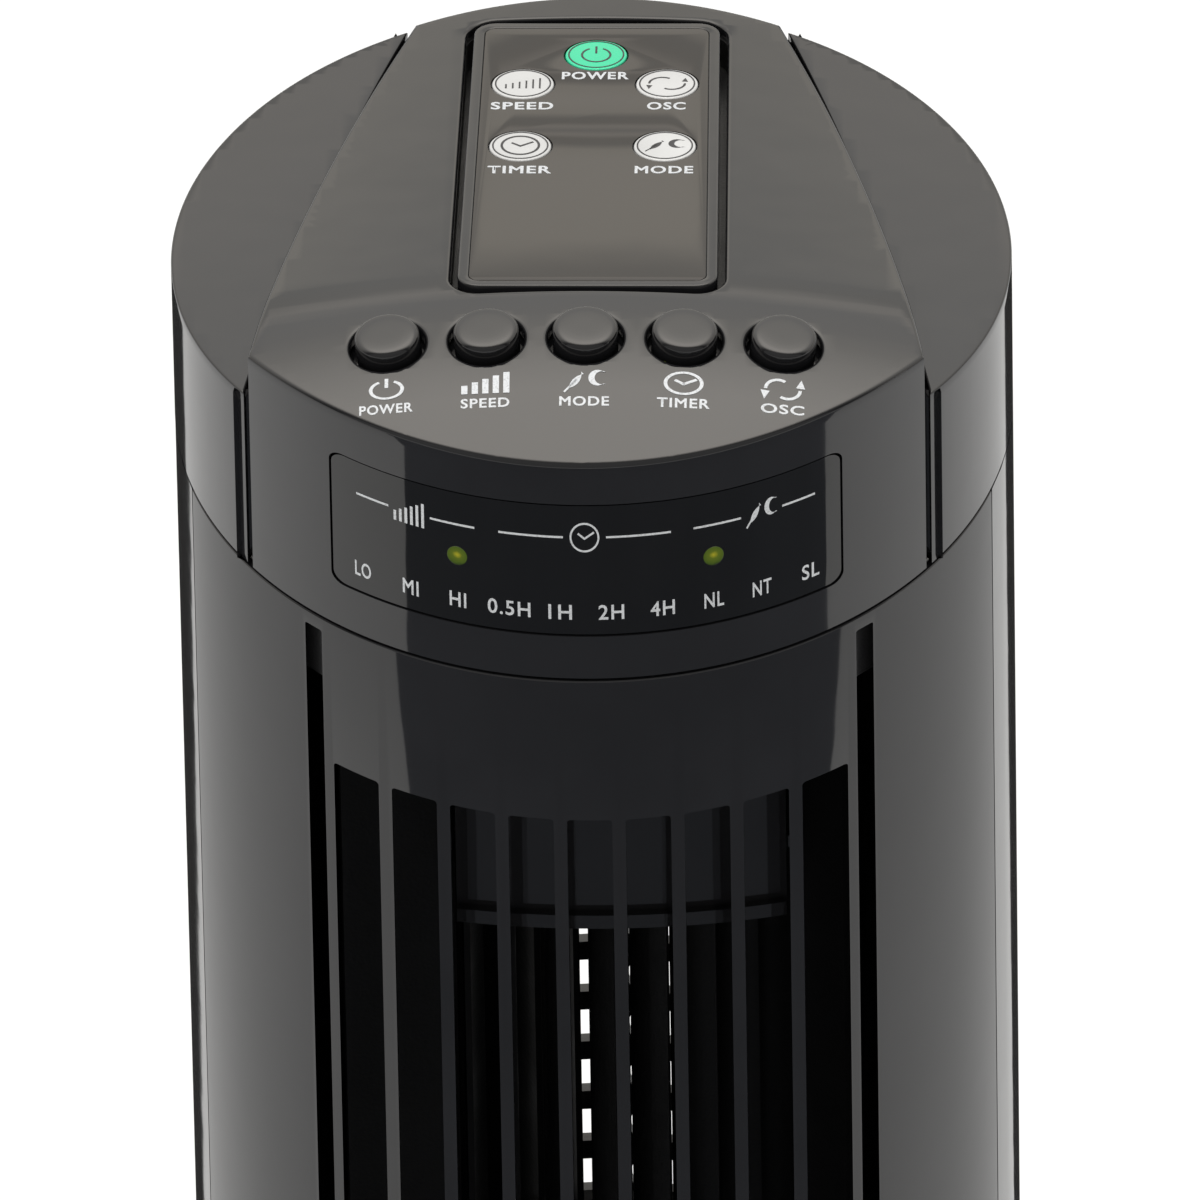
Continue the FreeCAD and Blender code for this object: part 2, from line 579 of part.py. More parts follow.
def crown_height(x, y):
    """Height of the centre panel's surface."""
    s = CROWN_SLOPE
    cy = CROWN_BREAK[0] - CROWN_ARC_R * math.sin(s)
    cz = CROWN_BREAK[1] - CROWN_ARC_R * math.cos(s)
    if y > CROWN_BREAK[0]:
        z = CROWN_BREAK[1] - (y - CROWN_BREAK[0]) * math.tan(s)
    else:
        z = cz + math.sqrt(CROWN_ARC_R ** 2 - (y - cy) ** 2)
    axis_z = CROWN_BREAK[1] - CROWN_ACROSS_R
    return SEAM_Z + axis_z + math.sqrt((z - axis_z) ** 2 - x ** 2)


def panel_plan(grow):
    """Plan of the centre panel, with its sides moved outwards by grow."""
    front, middle, rear = 67.0 + grow, 55.7 + grow, 32.8 + grow
    return [
        (-front, -100.0), (front, -100.0), (front, -56.0), ((middle, 3.2), (rear, 84.0)), (rear, 100.0),
        (-rear, 100.0), (-rear, 84.0), ((-middle, 3.2), (-front, -56.0)),
    ]


def remote_frame(shape):
    """Moves a shape from the remote's own flat frame to its place in the dock."""
    copy = shape.copy()
    copy.rotate(V(0, 0, 0), V(1, 0, 0), -math.degrees(CROWN_SLOPE))
    line_z = CROWN_BREAK[1] - (REMOTE_Y - CROWN_BREAK[0]) * math.tan(CROWN_SLOPE)
    copy.translate(V(0, REMOTE_Y, SEAM_Z + line_z - REMOTE_SINK / math.cos(CROWN_SLOPE)))
    return copy


def remote_plan(grow, corner=REMOTE_CORNER_R):
    """Outline of the remote, a little wider at its front end, grown by grow on every side."""
    half, rear, front = REMOTE_LENGTH / 2 + grow, REMOTE_HALF_REAR + grow, REMOTE_HALF_FRONT + grow
    r = corner + grow
    k = r * (1 - math.sqrt(0.5))
    return [
        (-front + r, -half), (front - r, -half), ((front - k, -half + k), (front, -half + r)),
        (rear, half - r), ((rear - k, half - k), (rear - r, half)),
        (-rear + r, half), ((-rear + k, half - k), (-rear, half - r)),
        (-front, -half + r), ((-front + k, -half + k), (-front + r, -half)),
    ]


def button_place(index):
    """Middle of a button's hole on the panel, and the panel's sideways tilt there in degrees."""
    x = (index - 2) * BUTTON_PITCH
    return x, crown_height(x, BUTTON_Y), math.degrees(math.asin(x / CROWN_ACROSS_R))


def at_button(shape, index):
    x, z, tilt = button_place(index)
    return moved(turned(shape, V(0, 1, 0), tilt), x, BUTTON_Y, z)


def lens_prism(grow):
    face = Part.Face(wire(rounded(-LENS_X - grow, LENS_X + grow, LENS_Z[0] - grow, LENS_Z[1] + grow,
                                  LENS_CORNER_R + grow), in_xz))
    face.translate(V(0, -95.0, 0))
    return face.extrude(V(0, 60.0, 0))


def top_panel():
    z0, z1 = SEAM_Z, SEAM_Z + 90.0
    outer = crown(0).common(cylinder(BODY_R, z0, z1)).common(prism(panel_plan(0), z0, z1))
    inner = crown(WALL).common(cylinder(BODY_R - WALL, z0 - 5, z1))
    inner = inner.common(prism(panel_plan(-WALL), z0 - 5, z1))
    bosses = [cylinder(3.6, CHASSIS_Z[1], z1, side * x, y) for side in (-1, 1) for x, y in CAP_BOSSES]
    bosses = [b.common(crown(1.0).fuse(cylinder(BODY_R, CHASSIS_Z[1], z0))) for b in bosses]
    panel = outer.cut(inner).fuse(bosses)
    cuts = [remote_frame(prism(remote_plan(DOCK_GAP), -6.0, 10.0)), lens_prism(LENS_GAP)]
    cuts += [at_button(cylinder(BUTTON_HOLE_R, -8.0, 8.0), i) for i in range(5)]
    cuts += [cylinder(SCREW_R + SNUG, 650, 680, side * x, y) for side in (-1, 1) for x, y in CAP_BOSSES]
    write("top_panel_center", panel.cut(cuts).removeSplitter())

    tray = prism(remote_plan(DOCK_GAP + 1.6), -REMOTE_T - 2.2, -3.4)
    tray = tray.cut(prism(remote_plan(DOCK_GAP), -REMOTE_T - 0.6, 5.0))
    finger = block(-9.0, 9.0, -REMOTE_LENGTH / 2 - 4, -REMOTE_LENGTH / 2 + 6, -REMOTE_T - 0.6, 5.0)
    write("remote_dock", remote_frame(tray.cut(finger.common(prism(remote_plan(1.0), -20, 20)))))


def top_wings():
    z0, z1 = SEAM_Z, SEAM_Z + 70.0
    for name, side in (("top_wing_left", -1), ("top_wing_right", 1)):
        x0, x1 = sorted((0.0, side * FAR))
        half_space = block(x0, x1, -FAR, FAR, z0 - 20, z1 + 10)
        outer = wing_crown(0).common(cylinder(BODY_R, z0, z1)).common(half_space)
        outer = outer.cut(prism(panel_plan(WING_GAP), z0 - 5, z1 + 5))
        inner = wing_crown(WALL).common(cylinder(BODY_R - WALL, z0 - 5, z1)).common(half_space)
        inner = inner.cut(prism(panel_plan(WING_GAP + WALL), z0 - 10, z1 + 5))
        bosses = [cylinder(3.6, CHASSIS_Z[1], z1, side * x, y) for x, y in WING_BOSSES]
        bosses = [b.common(wing_crown(1.0).fuse(cylinder(BODY_R, CHASSIS_Z[1], z0))) for b in bosses]
        holes = [cylinder(SCREW_R + SNUG, 650, 680, side * x, y) for x, y in WING_BOSSES]
        write(name, outer.cut(inner).fuse(bosses).cut(holes).removeSplitter())


def top_chassis():
    r = BODY_R - WALL - 0.4
    rim = tube(r, r - 2.0, CHASSIS_Z[0] - 5.0, CHASSIS_Z[1] + 5.0)
    plate = cylinder(r, *CHASSIS_Z)
    corners = [(x, y) for x in (-42.0, 42.0) for y in (-56.0, -42.0)]
    posts = [cylinder(3.0, CHASSIS_Z[1] - 1, BOARD_Z - 1.6, x, y) for x, y in corners]
    holes = [cylinder(SCREW_R + SNUG, 650, 680, side * x, y) for side in (-1, 1)
             for x, y in CAP_BOSSES + WING_BOSSES]
    holes.append(cylinder(12.0, 650, 680, 0, 20.0))
    holes += [block(side * BOSS_X - 6, side * BOSS_X + 6, -40, 45, 640, CHASSIS_Z[0] - 1) for side in (-1, 1)]
    write("top_chassis", plate.fuse([rim] + posts).cut(holes).removeSplitter())


def display():
    lens = tube(BODY_R - 0.2, BODY_R - 1.9, LENS_Z[0] - 1, LENS_Z[1] + 1).common(lens_prism(0))
    write("display_lens", lens)
    frame = sector(BODY_R - WALL - 0.3, BODY_R - WALL - 4.0, LENS_Z[0] - 4, LENS_Z[1] + 4, 270, 41.0)
    ledge_holes, leds = [], []
    for x in LED_X:
        angle = math.asin(x / BODY_R)
        outward = V(math.sin(angle), -math.cos(angle), 0)
        start = V(0, 0, LED_Z) + outward * (BODY_R - 9.5)
        ledge_holes.append(Part.makeCylinder(1.8, 12.0, start, outward))
        body = Part.makeCylinder(1.6, 5.6, start, outward)
        dome = Part.makeSphere(1.6, start + outward * 5.6)
        leds.append(body.fuse(dome).removeSplitter())
    write("display_frame", frame.cut(ledge_holes))
    write("led_array", leds)


def control_board():
    board = block(-46.0, 46.0, -59.5, -38.0, BOARD_Z - 1.6, BOARD_Z)
    chips = [block(20.0, 36.0, -43.0, -39.5, BOARD_Z, BOARD_Z + 2.0),
             block(-30.0, -22.0, -44.0, -39.0, BOARD_Z, BOARD_Z + 2.5)]
    write("control_board", board.fuse(chips).removeSplitter())
    top = PLUNGER_END_Z - BUTTON_TRAVEL - 0.35
    switches = []
    for i in range(5):
        x = plunger_x(i)
        body = block(x - 3.0, x + 3.0, BUTTON_Y - 3.0, BUTTON_Y + 3.0, BOARD_Z, top - 0.8)
        switches.append(body.fuse(cylinder(1.7, top - 1.0, top, x, BUTTON_Y)).removeSplitter())
    write("button_switches", switches)


def plunger_x(index):
    x, z, tilt = button_place(index)
    return x - (z - PLUNGER_END_Z) * math.tan(math.radians(tilt))


def push_buttons():
    for i, name in enumerate(BUTTON_NAMES):
        z = button_place(i)[1]
        cap = lathe([(0, -4.4), (BUTTON_R, -4.4), (BUTTON_R, BUTTON_PROUD - 1.3),
                     ((BUTTON_R - 0.4, BUTTON_PROUD - 0.35), (BUTTON_R - 1.4, BUTTON_PROUD)),
                     (0, BUTTON_PROUD + 0.1)])
        flange = cylinder(8.8, -5.2, -4.0)
        stem = cylinder(2.2, -(z - PLUNGER_END_Z), -4.5)
        write("button_" + name, at_button(cap.fuse([flange, stem]).removeSplitter(), i))


# ---------------------------------------------------------------- remote control
def key_place(name):
    x, from_rear = KEY_PLACES[name]
    return x, REMOTE_LENGTH / 2 - from_rear


def remote():
    split = -4.4
    keys = [key_place(name) for name in KEY_PLACES]
    top = prism(remote_plan(0), split, 0)
    top = top.cut(prism(remote_plan(-1.6), split - 1, -1.7))
    top = top.cut(prism(remote_plan(-2.2), -0.5, 1))
    top = top.cut([cylinder(KEY_R + 0.3, -5, 1, x, y) for x, y in keys])
    write("remote_case_top", remote_frame(top))
    overlay = prism(remote_plan(-2.3), -0.5, -0.15)
    overlay = overlay.cut([cylinder(KEY_R + 0.3, -5, 1, x, y) for x, y in keys])
    write("remote_overlay", remote_frame(overlay))

    bottom = prism(remote_plan(0), -REMOTE_T, split)
    bottom = bottom.cut(prism(remote_plan(-1.6), -REMOTE_T + 1.4, 1))
    front_y = -REMOTE_LENGTH / 2
    tray_mouth = block(-13.0, 13.0, front_y - 1, front_y + 26.0, -REMOTE_T + 1.4, split - 0.4)
    write("remote_case_bottom", remote_frame(bottom.cut(tray_mouth)))

    board = block(-20.0, 20.0, -24.0, 50.0, -4.1, -2.9)
    sender = Part.makeCylinder(1.5, 3.4, V(0, 49.0, -4.4), V(0, 1, 0))
    write("remote_board", remote_frame(board.fuse(sender).removeSplitter()))
    tray = block(-12.7, 12.7, front_y + 0.2, front_y + 25.0, -REMOTE_T + 1.6, split - 0.6)
    tray = tray.cut(cylinder(10.2, -REMOTE_T + 2.1, 0, 0, front_y + 13.0))
    write("remote_battery_tray", remote_frame(tray))
    write("remote_battery", remote_frame(cylinder(10.0, -REMOTE_T + 2.15, split - 0.7, 0, front_y + 13.0)))
    for name in KEY_PLACES:
        x, y = key_place(name)
        key = cylinder(KEY_R, -2.3, 0.0, x, y).fuse(cylinder(KEY_R + 0.9, -2.3, -2.0, x, y))
        write("key_" + name, remote_frame(key.removeSplitter()))


def main():
    os.makedirs("parts", exist_ok=True)
    for make in (base_shell, base_plate, rubber_feet, base_weight, base_screws, cord_gland, pivot_post,
                 swing_drive, turntable, bottom_housing, tower_screws, front_shell, rear_shell, rear_grille,
                 air_duct, impeller, motor, top_panel, top_wings, top_chassis, display, control_board,
                 push_buttons, remote):
        make()


main()
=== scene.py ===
# %% [markdown]
# # A tower fan with a docked remote control
# This lesson dresses a finished fan model for its portrait. The working parts, with their axles,
# screws and bores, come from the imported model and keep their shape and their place. The skin that
# people see and touch is modelled here, and every part gets a finish of its own. Everything is in
# metres, +Z is up, and the front of the fan faces -Y.

import bpy
import json
from math import asin, atan2, ceil, cos, degrees, hypot, pi, radians, sin, sqrt, tan
from mathutils import Matrix, Vector

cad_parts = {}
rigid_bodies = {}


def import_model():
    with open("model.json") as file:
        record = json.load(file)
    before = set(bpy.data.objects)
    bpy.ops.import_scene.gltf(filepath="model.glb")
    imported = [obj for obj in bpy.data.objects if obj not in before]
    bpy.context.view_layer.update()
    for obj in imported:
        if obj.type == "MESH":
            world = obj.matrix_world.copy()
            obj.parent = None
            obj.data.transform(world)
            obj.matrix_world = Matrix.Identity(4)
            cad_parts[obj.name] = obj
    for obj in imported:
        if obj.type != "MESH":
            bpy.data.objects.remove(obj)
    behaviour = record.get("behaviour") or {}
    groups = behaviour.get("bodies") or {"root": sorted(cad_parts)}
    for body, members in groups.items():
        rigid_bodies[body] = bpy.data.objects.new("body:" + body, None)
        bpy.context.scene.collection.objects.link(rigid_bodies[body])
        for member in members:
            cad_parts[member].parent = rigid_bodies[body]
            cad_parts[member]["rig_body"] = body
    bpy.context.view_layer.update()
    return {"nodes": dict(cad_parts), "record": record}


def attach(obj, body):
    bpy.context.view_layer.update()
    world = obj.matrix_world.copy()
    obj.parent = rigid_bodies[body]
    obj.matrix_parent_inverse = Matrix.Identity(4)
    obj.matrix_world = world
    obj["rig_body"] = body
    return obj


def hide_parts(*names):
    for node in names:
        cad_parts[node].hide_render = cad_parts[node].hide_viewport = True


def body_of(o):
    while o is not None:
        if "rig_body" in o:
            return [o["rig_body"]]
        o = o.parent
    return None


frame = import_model()
nodes = frame["nodes"]

# %% [markdown]
# The fan's main sizes are stated once. The top cap sits on a seam that runs round the tower, and
# most heights are counted from that seam.

# %% Main sizes
MM = 0.001
TOWER_R = 82.5 * MM
SEAM_Z = 676.0 * MM
SEAM_GAP = 0.8 * MM
SHELL_Z = 70.0 * MM
WALL = 2.4 * MM

# %% [markdown]
# ## Camera
# A product portrait of something this small is taken from far away with a long lens, so that the
# tower's sides stay parallel. The camera looks down on the top cap from the front, a hair to the
# right, and leans by one degree. It is placed by its direction from a point on the seam's axis.

# %% Camera
CAMERA_TURN = radians(1.6)
CAMERA_RISE = radians(41.2)
CAMERA_LEAN = radians(1.0)
LENS = 1200.0
SENSOR = 36.0
FRAME_WIDTH = 0.2362       # what the picture spans at the fan

toward_camera = Vector((sin(CAMERA_TURN) * cos(CAMERA_RISE), -cos(CAMERA_TURN) * cos(CAMERA_RISE),
                        sin(CAMERA_RISE)))
level_right = Vector((cos(CAMERA_TURN), sin(CAMERA_TURN), 0.0))
level_up = toward_camera.cross(level_right)
picture_up = level_up * cos(CAMERA_LEAN) + level_right * sin(CAMERA_LEAN)
picture_right = level_right * cos(CAMERA_LEAN) - level_up * sin(CAMERA_LEAN)
looked_at = Vector((0, 0, SEAM_Z)) + picture_right * 1.2 * MM - picture_up * 39.0 * MM

bpy.ops.object.select_all(action="DESELECT")
bpy.ops.object.camera_add()
camera = bpy.context.object
camera.name = "portrait_camera"
camera.data.lens = LENS
camera.data.sensor_width = SENSOR
camera.data.clip_start = 0.05
camera.data.clip_end = 60.0
camera.location = looked_at + toward_camera * (FRAME_WIDTH * LENS / SENSOR)
turn = Matrix((picture_right, picture_up, toward_camera)).transposed()
camera.rotation_euler = turn.to_euler()
bpy.context.scene.camera = camera
print("camera distance", round((camera.location - looked_at).length, 3), "m")

# %% [markdown]
# ## Studio
# Black gloss plastic has hardly any colour of its own: what we see is the room mirrored in it. So
# the room is designed from its reflections. A dim, even room and one very wide lamp overhead light
# every dull surface alike, and the lamp leaves no mark in the gloss. A dome over the fan, dull at its
# foot and bright overhead, is seen only in reflections and gives the top its grey.

# %% Even room
ROOM_LEVEL = 0.42
world = bpy.data.worlds.new("studio")
bpy.context.scene.world = world
world.use_nodes = True
tree = world.node_tree
tree.nodes.clear()
room = tree.nodes.new("ShaderNodeBackground")
room.inputs["Color"].default_value = (1.0, 0.985, 0.96, 1)
room.inputs["Strength"].default_value = ROOM_LEVEL
seen = tree.nodes.new("ShaderNodeBackground")
seen.inputs["Color"].default_value = (1, 1, 1, 1)
path = tree.nodes.new("ShaderNodeLightPath")
choose = tree.nodes.new("ShaderNodeMixShader")
output = tree.nodes.new("ShaderNodeOutputWorld")
tree.links.new(path.outputs["Is Camera Ray"], choose.inputs["Fac"])
tree.links.new(room.outputs[0], choose.inputs[1])
tree.links.new(seen.outputs[0], choose.inputs[2])
tree.links.new(choose.outputs[0], output.inputs["Surface"])
bpy.context.scene.view_settings.view_transform = "Standard"

OVERHEAD_LEVEL = 2.05
OVERHEAD_SPREAD = radians(70.0)
bpy.ops.object.select_all(action="DESELECT")
bpy.ops.object.light_add(type="SUN", location=(0, 0, 3))
overhead = bpy.context.object
overhead.name = "overhead"
overhead.data.energy = OVERHEAD_LEVEL
overhead.data.angle = OVERHEAD_SPREAD
overhead.rotation_euler = (radians(-12.0), radians(-10.0), 0)
overhead.visible_glossy = False
print("room at", ROOM_LEVEL, "with an overhead lamp", round(degrees(OVERHEAD_SPREAD)), "degrees wide")


# %% Side lamps for small glints
def soft_box(name, place, aim, width, height, watts, colour):
    """A rectangular studio lamp at a place, turned to face a point."""
    bpy.ops.object.select_all(action="DESELECT")
    bpy.ops.object.light_add(type="AREA", location=place)
    lamp = bpy.context.object
    lamp.name = name
    lamp.data.shape = "RECTANGLE"
    lamp.data.size = width
    lamp.data.size_y = height
    lamp.data.energy = watts
    lamp.data.color = colour
    lamp.rotation_euler = (Vector(place) - Vector(aim)).to_track_quat("Z", "Y").to_euler()
    return lamp


soft_box("key_left", (-1.7, -0.5, 1.5), (0, 0, 0.5), 0.5, 1.6, 6.0, (1.0, 0.98, 0.95))
soft_box("key_right", (1.8, -0.3, 1.3), (0, 0, 0.5), 0.4, 1.6, 5.0, (1.0, 0.99, 0.97))


# %% Plain materials of the studio
for material in list(bpy.data.materials):
    bpy.data.materials.remove(material)


def studio_material(name, dark, light, scale, roughness):
    """A dull material whose brightness drifts a little, for the things around the fan."""
    finish = bpy.data.materials.new(name)
    finish.use_nodes = True
    nodes_in = finish.node_tree.nodes
    shader = nodes_in["Principled BSDF"]
    shader.inputs["Roughness"].default_value = roughness
    shader.inputs["Specular IOR Level"].default_value = 0.1
    place = nodes_in.new("ShaderNodeTexCoord")
    drift = nodes_in.new("ShaderNodeTexNoise")
    drift.inputs["Scale"].default_value = scale
    ramp = nodes_in.new("ShaderNodeValToRGB")
    ramp.color_ramp.elements[0].color = (*dark, 1)
    ramp.color_ramp.elements[1].color = (*light, 1)
    finish.node_tree.links.new(place.outputs["Object"], drift.inputs["Vector"])
    finish.node_tree.links.new(drift.outputs["Fac"], ramp.inputs["Fac"])
    finish.node_tree.links.new(ramp.outputs["Color"], shader.inputs["Base Color"])
    return finish


floor_paper = studio_material("floor_paper", (0.945, 0.945, 0.94), (0.965, 0.965, 0.96), 3.0, 0.7)
grey_felt = studio_material("grey_felt", (0.125, 0.134, 0.152), (0.155, 0.166, 0.19), 6.0, 0.95)
black_felt = studio_material("black_felt", (0.018, 0.018, 0.018), (0.03, 0.029, 0.028), 6.0, 0.95)

# %% [markdown]
# ### Floor and cards
# The pale floor gives the fan's sides their grey. Two dark cards lie on it, and only reflections
# show them: a wide grey one in front makes the deep tone down the middle of the tower, and a narrower
# black one behind makes the thin dark line along each edge.

# %% Floor and dark cards
bpy.ops.object.select_all(action="DESELECT")
bpy.ops.mesh.primitive_plane_add(size=16.0, location=(0, 0, 0))
floor = bpy.context.object
floor.name = "studio_floor"
floor.data.materials.append(floor_paper)

CARD_REACH = 2.6
CARD_CLEAR = 0.15
CARD_Z = 0.5 * MM


def card_on_floor(name, from_deg, to_deg, felt):
    """A wedge of card seen from the tower between two directions, 0 being straight ahead."""
    bpy.ops.object.select_all(action="DESELECT")
    bpy.ops.mesh.primitive_circle_add(vertices=120, radius=CARD_REACH, fill_type="NGON",
                                      location=(0, 0, CARD_Z))
    card = bpy.context.object
    card.name = name
    ahead = radians(from_deg + to_deg) / 2
    cuts = [(Vector((sin(ahead), -cos(ahead), 0)), CARD_CLEAR)]
    for angle, side in ((radians(from_deg), 1.0), (radians(to_deg), -1.0)):
        cuts.append((Vector((cos(angle), sin(angle), 0)) * side, 0.0))
    bpy.ops.object.mode_set(mode="EDIT")
    for inwards, distance in cuts:
        bpy.ops.mesh.select_all(action="SELECT")
        bpy.ops.mesh.bisect(plane_co=inwards * distance, plane_no=inwards, clear_inner=True)
    bpy.ops.object.mode_set(mode="OBJECT")
    card.visible_camera = False
    card.visible_diffuse = False
    card.visible_shadow = False
    card.visible_transmission = False
    card.data.materials.append(felt)
    print(name, "spans", round(card.dimensions.x, 2), "x", round(card.dimensions.y, 2), "m")


card_on_floor("card_in_front", -50.0, 65.0, grey_felt)
card_on_floor("card_behind", 153.0, 213.0, black_felt)

# %% [markdown]
# The dome's light depends on the place on the dome only. A ramp sets it by height, and a second step
# fades it out a little in front of the fan, so that the rolled front edge falls off into shade.

# %% Dome seen in reflections
DOME_R = 0.9
DOME_Z = 0.70
DOME_FULL = 5.0
DOME_BY_HEIGHT = ((0.0, 0.9, (1.0, 0.95, 0.87)), (0.24, 1.40, (1.0, 0.95, 0.86)),
                  (0.32, 1.05, (1.0, 0.98, 0.93)), (0.40, 1.20, (1.0, 0.97, 0.91)),
                  (0.455, 1.85, (1.0, 0.95, 0.88)), (0.52, 1.55, (1.0, 0.98, 0.94)),
                  (0.61, 1.80, (1.0, 0.97, 0.92)), (0.69, 2.3, (1.0, 0.96, 0.89)),
                  (0.90, 4.5, (1.0, 0.95, 0.88)), (1.0, 4.8, (1.0, 0.95, 0.88)))
bpy.ops.object.select_all(action="DESELECT")
bpy.ops.mesh.primitive_uv_sphere_add(segments=96, ring_count=48, radius=DOME_R, location=(0, 0, DOME_Z))
dome = bpy.context.object
dome.name = "reflection_dome"
bpy.ops.object.mode_set(mode="EDIT")
for point, kept in (((0, 0, DOME_Z), (0, 0, 1)), ((0, -0.5 * DOME_R, 0), (0, 1, 0))):
    bpy.ops.mesh.select_all(action="SELECT")
    bpy.ops.mesh.bisect(plane_co=point, plane_no=kept, clear_inner=True)
bpy.ops.object.mode_set(mode="OBJECT")
dome.visible_camera = False
dome.visible_diffuse = False
dome.visible_shadow = False
dome.visible_transmission = False
dome_light = bpy.data.materials.new("dome_light")
dome_light.use_nodes = True
tree = dome_light.node_tree
tree.nodes.clear()
place = tree.nodes.new("ShaderNodeTexCoord")
split = tree.nodes.new("ShaderNodeSeparateXYZ")
height = tree.nodes.new("ShaderNodeMapRange")
height.inputs["From Max"].default_value = DOME_R
by_height = tree.nodes.new("ShaderNodeValToRGB")
stops = by_height.color_ramp.elements
while len(stops) < len(DOME_BY_HEIGHT):
    stops.new(0.5)
for stop, (position, level, tint) in zip(stops, DOME_BY_HEIGHT):
    stop.position = position
    stop.color = (*[channel * level / DOME_FULL for channel in tint], 1)
depth = tree.nodes.new("ShaderNodeMapRange")
depth.interpolation_type = "SMOOTHSTEP"
depth.inputs["From Min"].default_value = -0.45 * DOME_R
depth.inputs["From Max"].default_value = 0.05 * DOME_R
depth.inputs["To Min"].default_value = 0.08 * DOME_FULL
depth.inputs["To Max"].default_value = DOME_FULL
glow = tree.nodes.new("ShaderNodeEmission")
output = tree.nodes.new("ShaderNodeOutputMaterial")
tree.links.new(place.outputs["Object"], split.inputs[0])
tree.links.new(split.outputs["Z"], height.inputs["Value"])
tree.links.new(split.outputs["Y"], depth.inputs["Value"])
tree.links.new(height.outputs["Result"], by_height.inputs["Fac"])
tree.links.new(by_height.outputs["Color"], glow.inputs["Color"])
tree.links.new(depth.outputs["Result"], glow.inputs["Strength"])
tree.links.new(glow.outputs[0], output.inputs["Surface"])
dome.data.materials.append(dome_light)
print("dome of", len(dome.data.polygons), "faces")

# %% [markdown]
# ## Finishes
# Each finish is a small recipe of nodes. They all start alike: a principled shader, a noise that
# moves the colour and the gloss a little from place to place, and a finer noise that lifts the
# surface. The steps below build that common start once, and each finish then adds its own marks.


# %% The common start of a finish
def new_finish(name, roughness, metallic=0.0, ior=1.5):
    """An empty material with a principled shader, and its object coordinates."""
    finish = bpy.data.materials.new(name)
    finish.use_nodes = True
    shader = finish.node_tree.nodes["Principled BSDF"]
    shader.inputs["Roughness"].default_value = roughness
    shader.inputs["Metallic"].default_value = metallic
    shader.inputs["IOR"].default_value = ior
    place = finish.node_tree.nodes.new("ShaderNodeTexCoord")
    return finish, shader, place.outputs["Object"]


def noise(finish, place, scale, detail=3.0, roughness=0.55):
    """A noise read at a place; scale is in waves for each metre."""
    node = finish.node_tree.nodes.new("ShaderNodeTexNoise")
    node.inputs["Scale"].default_value = scale
    node.inputs["Detail"].default_value = detail
    node.inputs["Roughness"].default_value = roughness
    finish.node_tree.links.new(place, node.inputs["Vector"])
    return node.outputs["Fac"]


def stretched(finish, place, x, y, z):
    """The same place, scaled apart along each axis."""
    node = finish.node_tree.nodes.new("ShaderNodeMapping")
    node.inputs["Scale"].default_value = (x, y, z)
    finish.node_tree.links.new(place, node.inputs["Vector"])
    return node.outputs["Vector"]


def graded(finish, value, stops, target):
    """Feeds a value through a colour ramp into a socket. stops are pairs of position and colour."""
    ramp = finish.node_tree.nodes.new("ShaderNodeValToRGB")
    ends = ramp.color_ramp.elements
    while len(ends) < len(stops):
        ends.new(0.5)
    for element, (position, colour) in zip(ends, stops):
        element.position = position
        element.color = (*colour, 1) if len(colour) == 3 else colour
    finish.node_tree.links.new(value, ramp.inputs["Fac"])
    finish.node_tree.links.new(ramp.outputs["Color"], target)
    return ramp.outputs["Color"]


def ranged(finish, value, low, high, target, start=0.3, end=0.7):
    """Feeds a value into a socket, stretched from start-end to low-high."""
    node = finish.node_tree.nodes.new("ShaderNodeMapRange")
    node.inputs["From Min"].default_value = start
    node.inputs["From Max"].default_value = end
    node.inputs["To Min"].default_value = low
    node.inputs["To Max"].default_value = high
    finish.node_tree.links.new(value, node.inputs["Value"])
    if target is not None:
        finish.node_tree.links.new(node.outputs["Result"], target)
    return node.outputs["Result"]


def lifted(finish, shader, value, depth, strength=1.0, under=None):
    """Raises the surface by a value, depth metres at most, on top of another lift."""
    node = finish.node_tree.nodes.new("ShaderNodeBump")
    node.inputs["Distance"].default_value = depth
    node.inputs["Strength"].default_value = strength
    finish.node_tree.links.new(value, node.inputs["Height"])
    if under is not None:
        finish.node_tree.links.new(under, node.inputs["Normal"])
    finish.node_tree.links.new(node.outputs["Normal"], shader.inputs["Normal"])
    return node.outputs["Normal"]


# %% [markdown]
# ### Moulded plastics
# The fan's skin is black ABS from a polished mould. Its flow and cooling leave a very shallow
# waviness that bends reflections, and handling leaves faint smears and single specks of dust.
# The inner and lower parts come from a spark-eroded mould, whose fine grain scatters the light.

# %% Black plastics
def gloss_plastic(name, colour, clear, smeared, wave_depth):
    finish, shader, place = new_finish(name, clear)
    graded(finish, noise(finish, place, 28.0), [(0.35, colour), (0.7, [c * 1.25 for c in colour])],
           shader.inputs["Base Color"])
    ranged(finish, noise(finish, stretched(finish, place, 1, 1, 0.35), 17.0, 6.0, 0.7), clear, smeared,
           shader.inputs["Roughness"], 0.42, 0.8)
    wave = lifted(finish, shader, noise(finish, place, 75.0, 1.0), wave_depth)
    lifted(finish, shader, noise(finish, place, 900.0, 2.0), wave_depth * 0.012, 1.0, wave)
    return finish


def grained_plastic(name, colour, roughness, grain, depth):
    finish, shader, place = new_finish(name, roughness)
    graded(finish, noise(finish, place, 40.0, 5.0), [(0.3, colour), (0.75, [c * 1.5 for c in colour])],
           shader.inputs["Base Color"])
    ranged(finish, noise(finish, place, 60.0), roughness * 0.85, roughness * 1.15, shader.inputs["Roughness"])
    cells = finish.node_tree.nodes.new("ShaderNodeTexVoronoi")
    cells.inputs["Scale"].default_value = grain
    finish.node_tree.links.new(place, cells.inputs["Vector"])
    first = lifted(finish, shader, cells.outputs["Distance"], depth, 0.6)
    lifted(finish, shader, noise(finish, place, grain * 1.7, 4.0), depth, 0.5, first)
    return finish


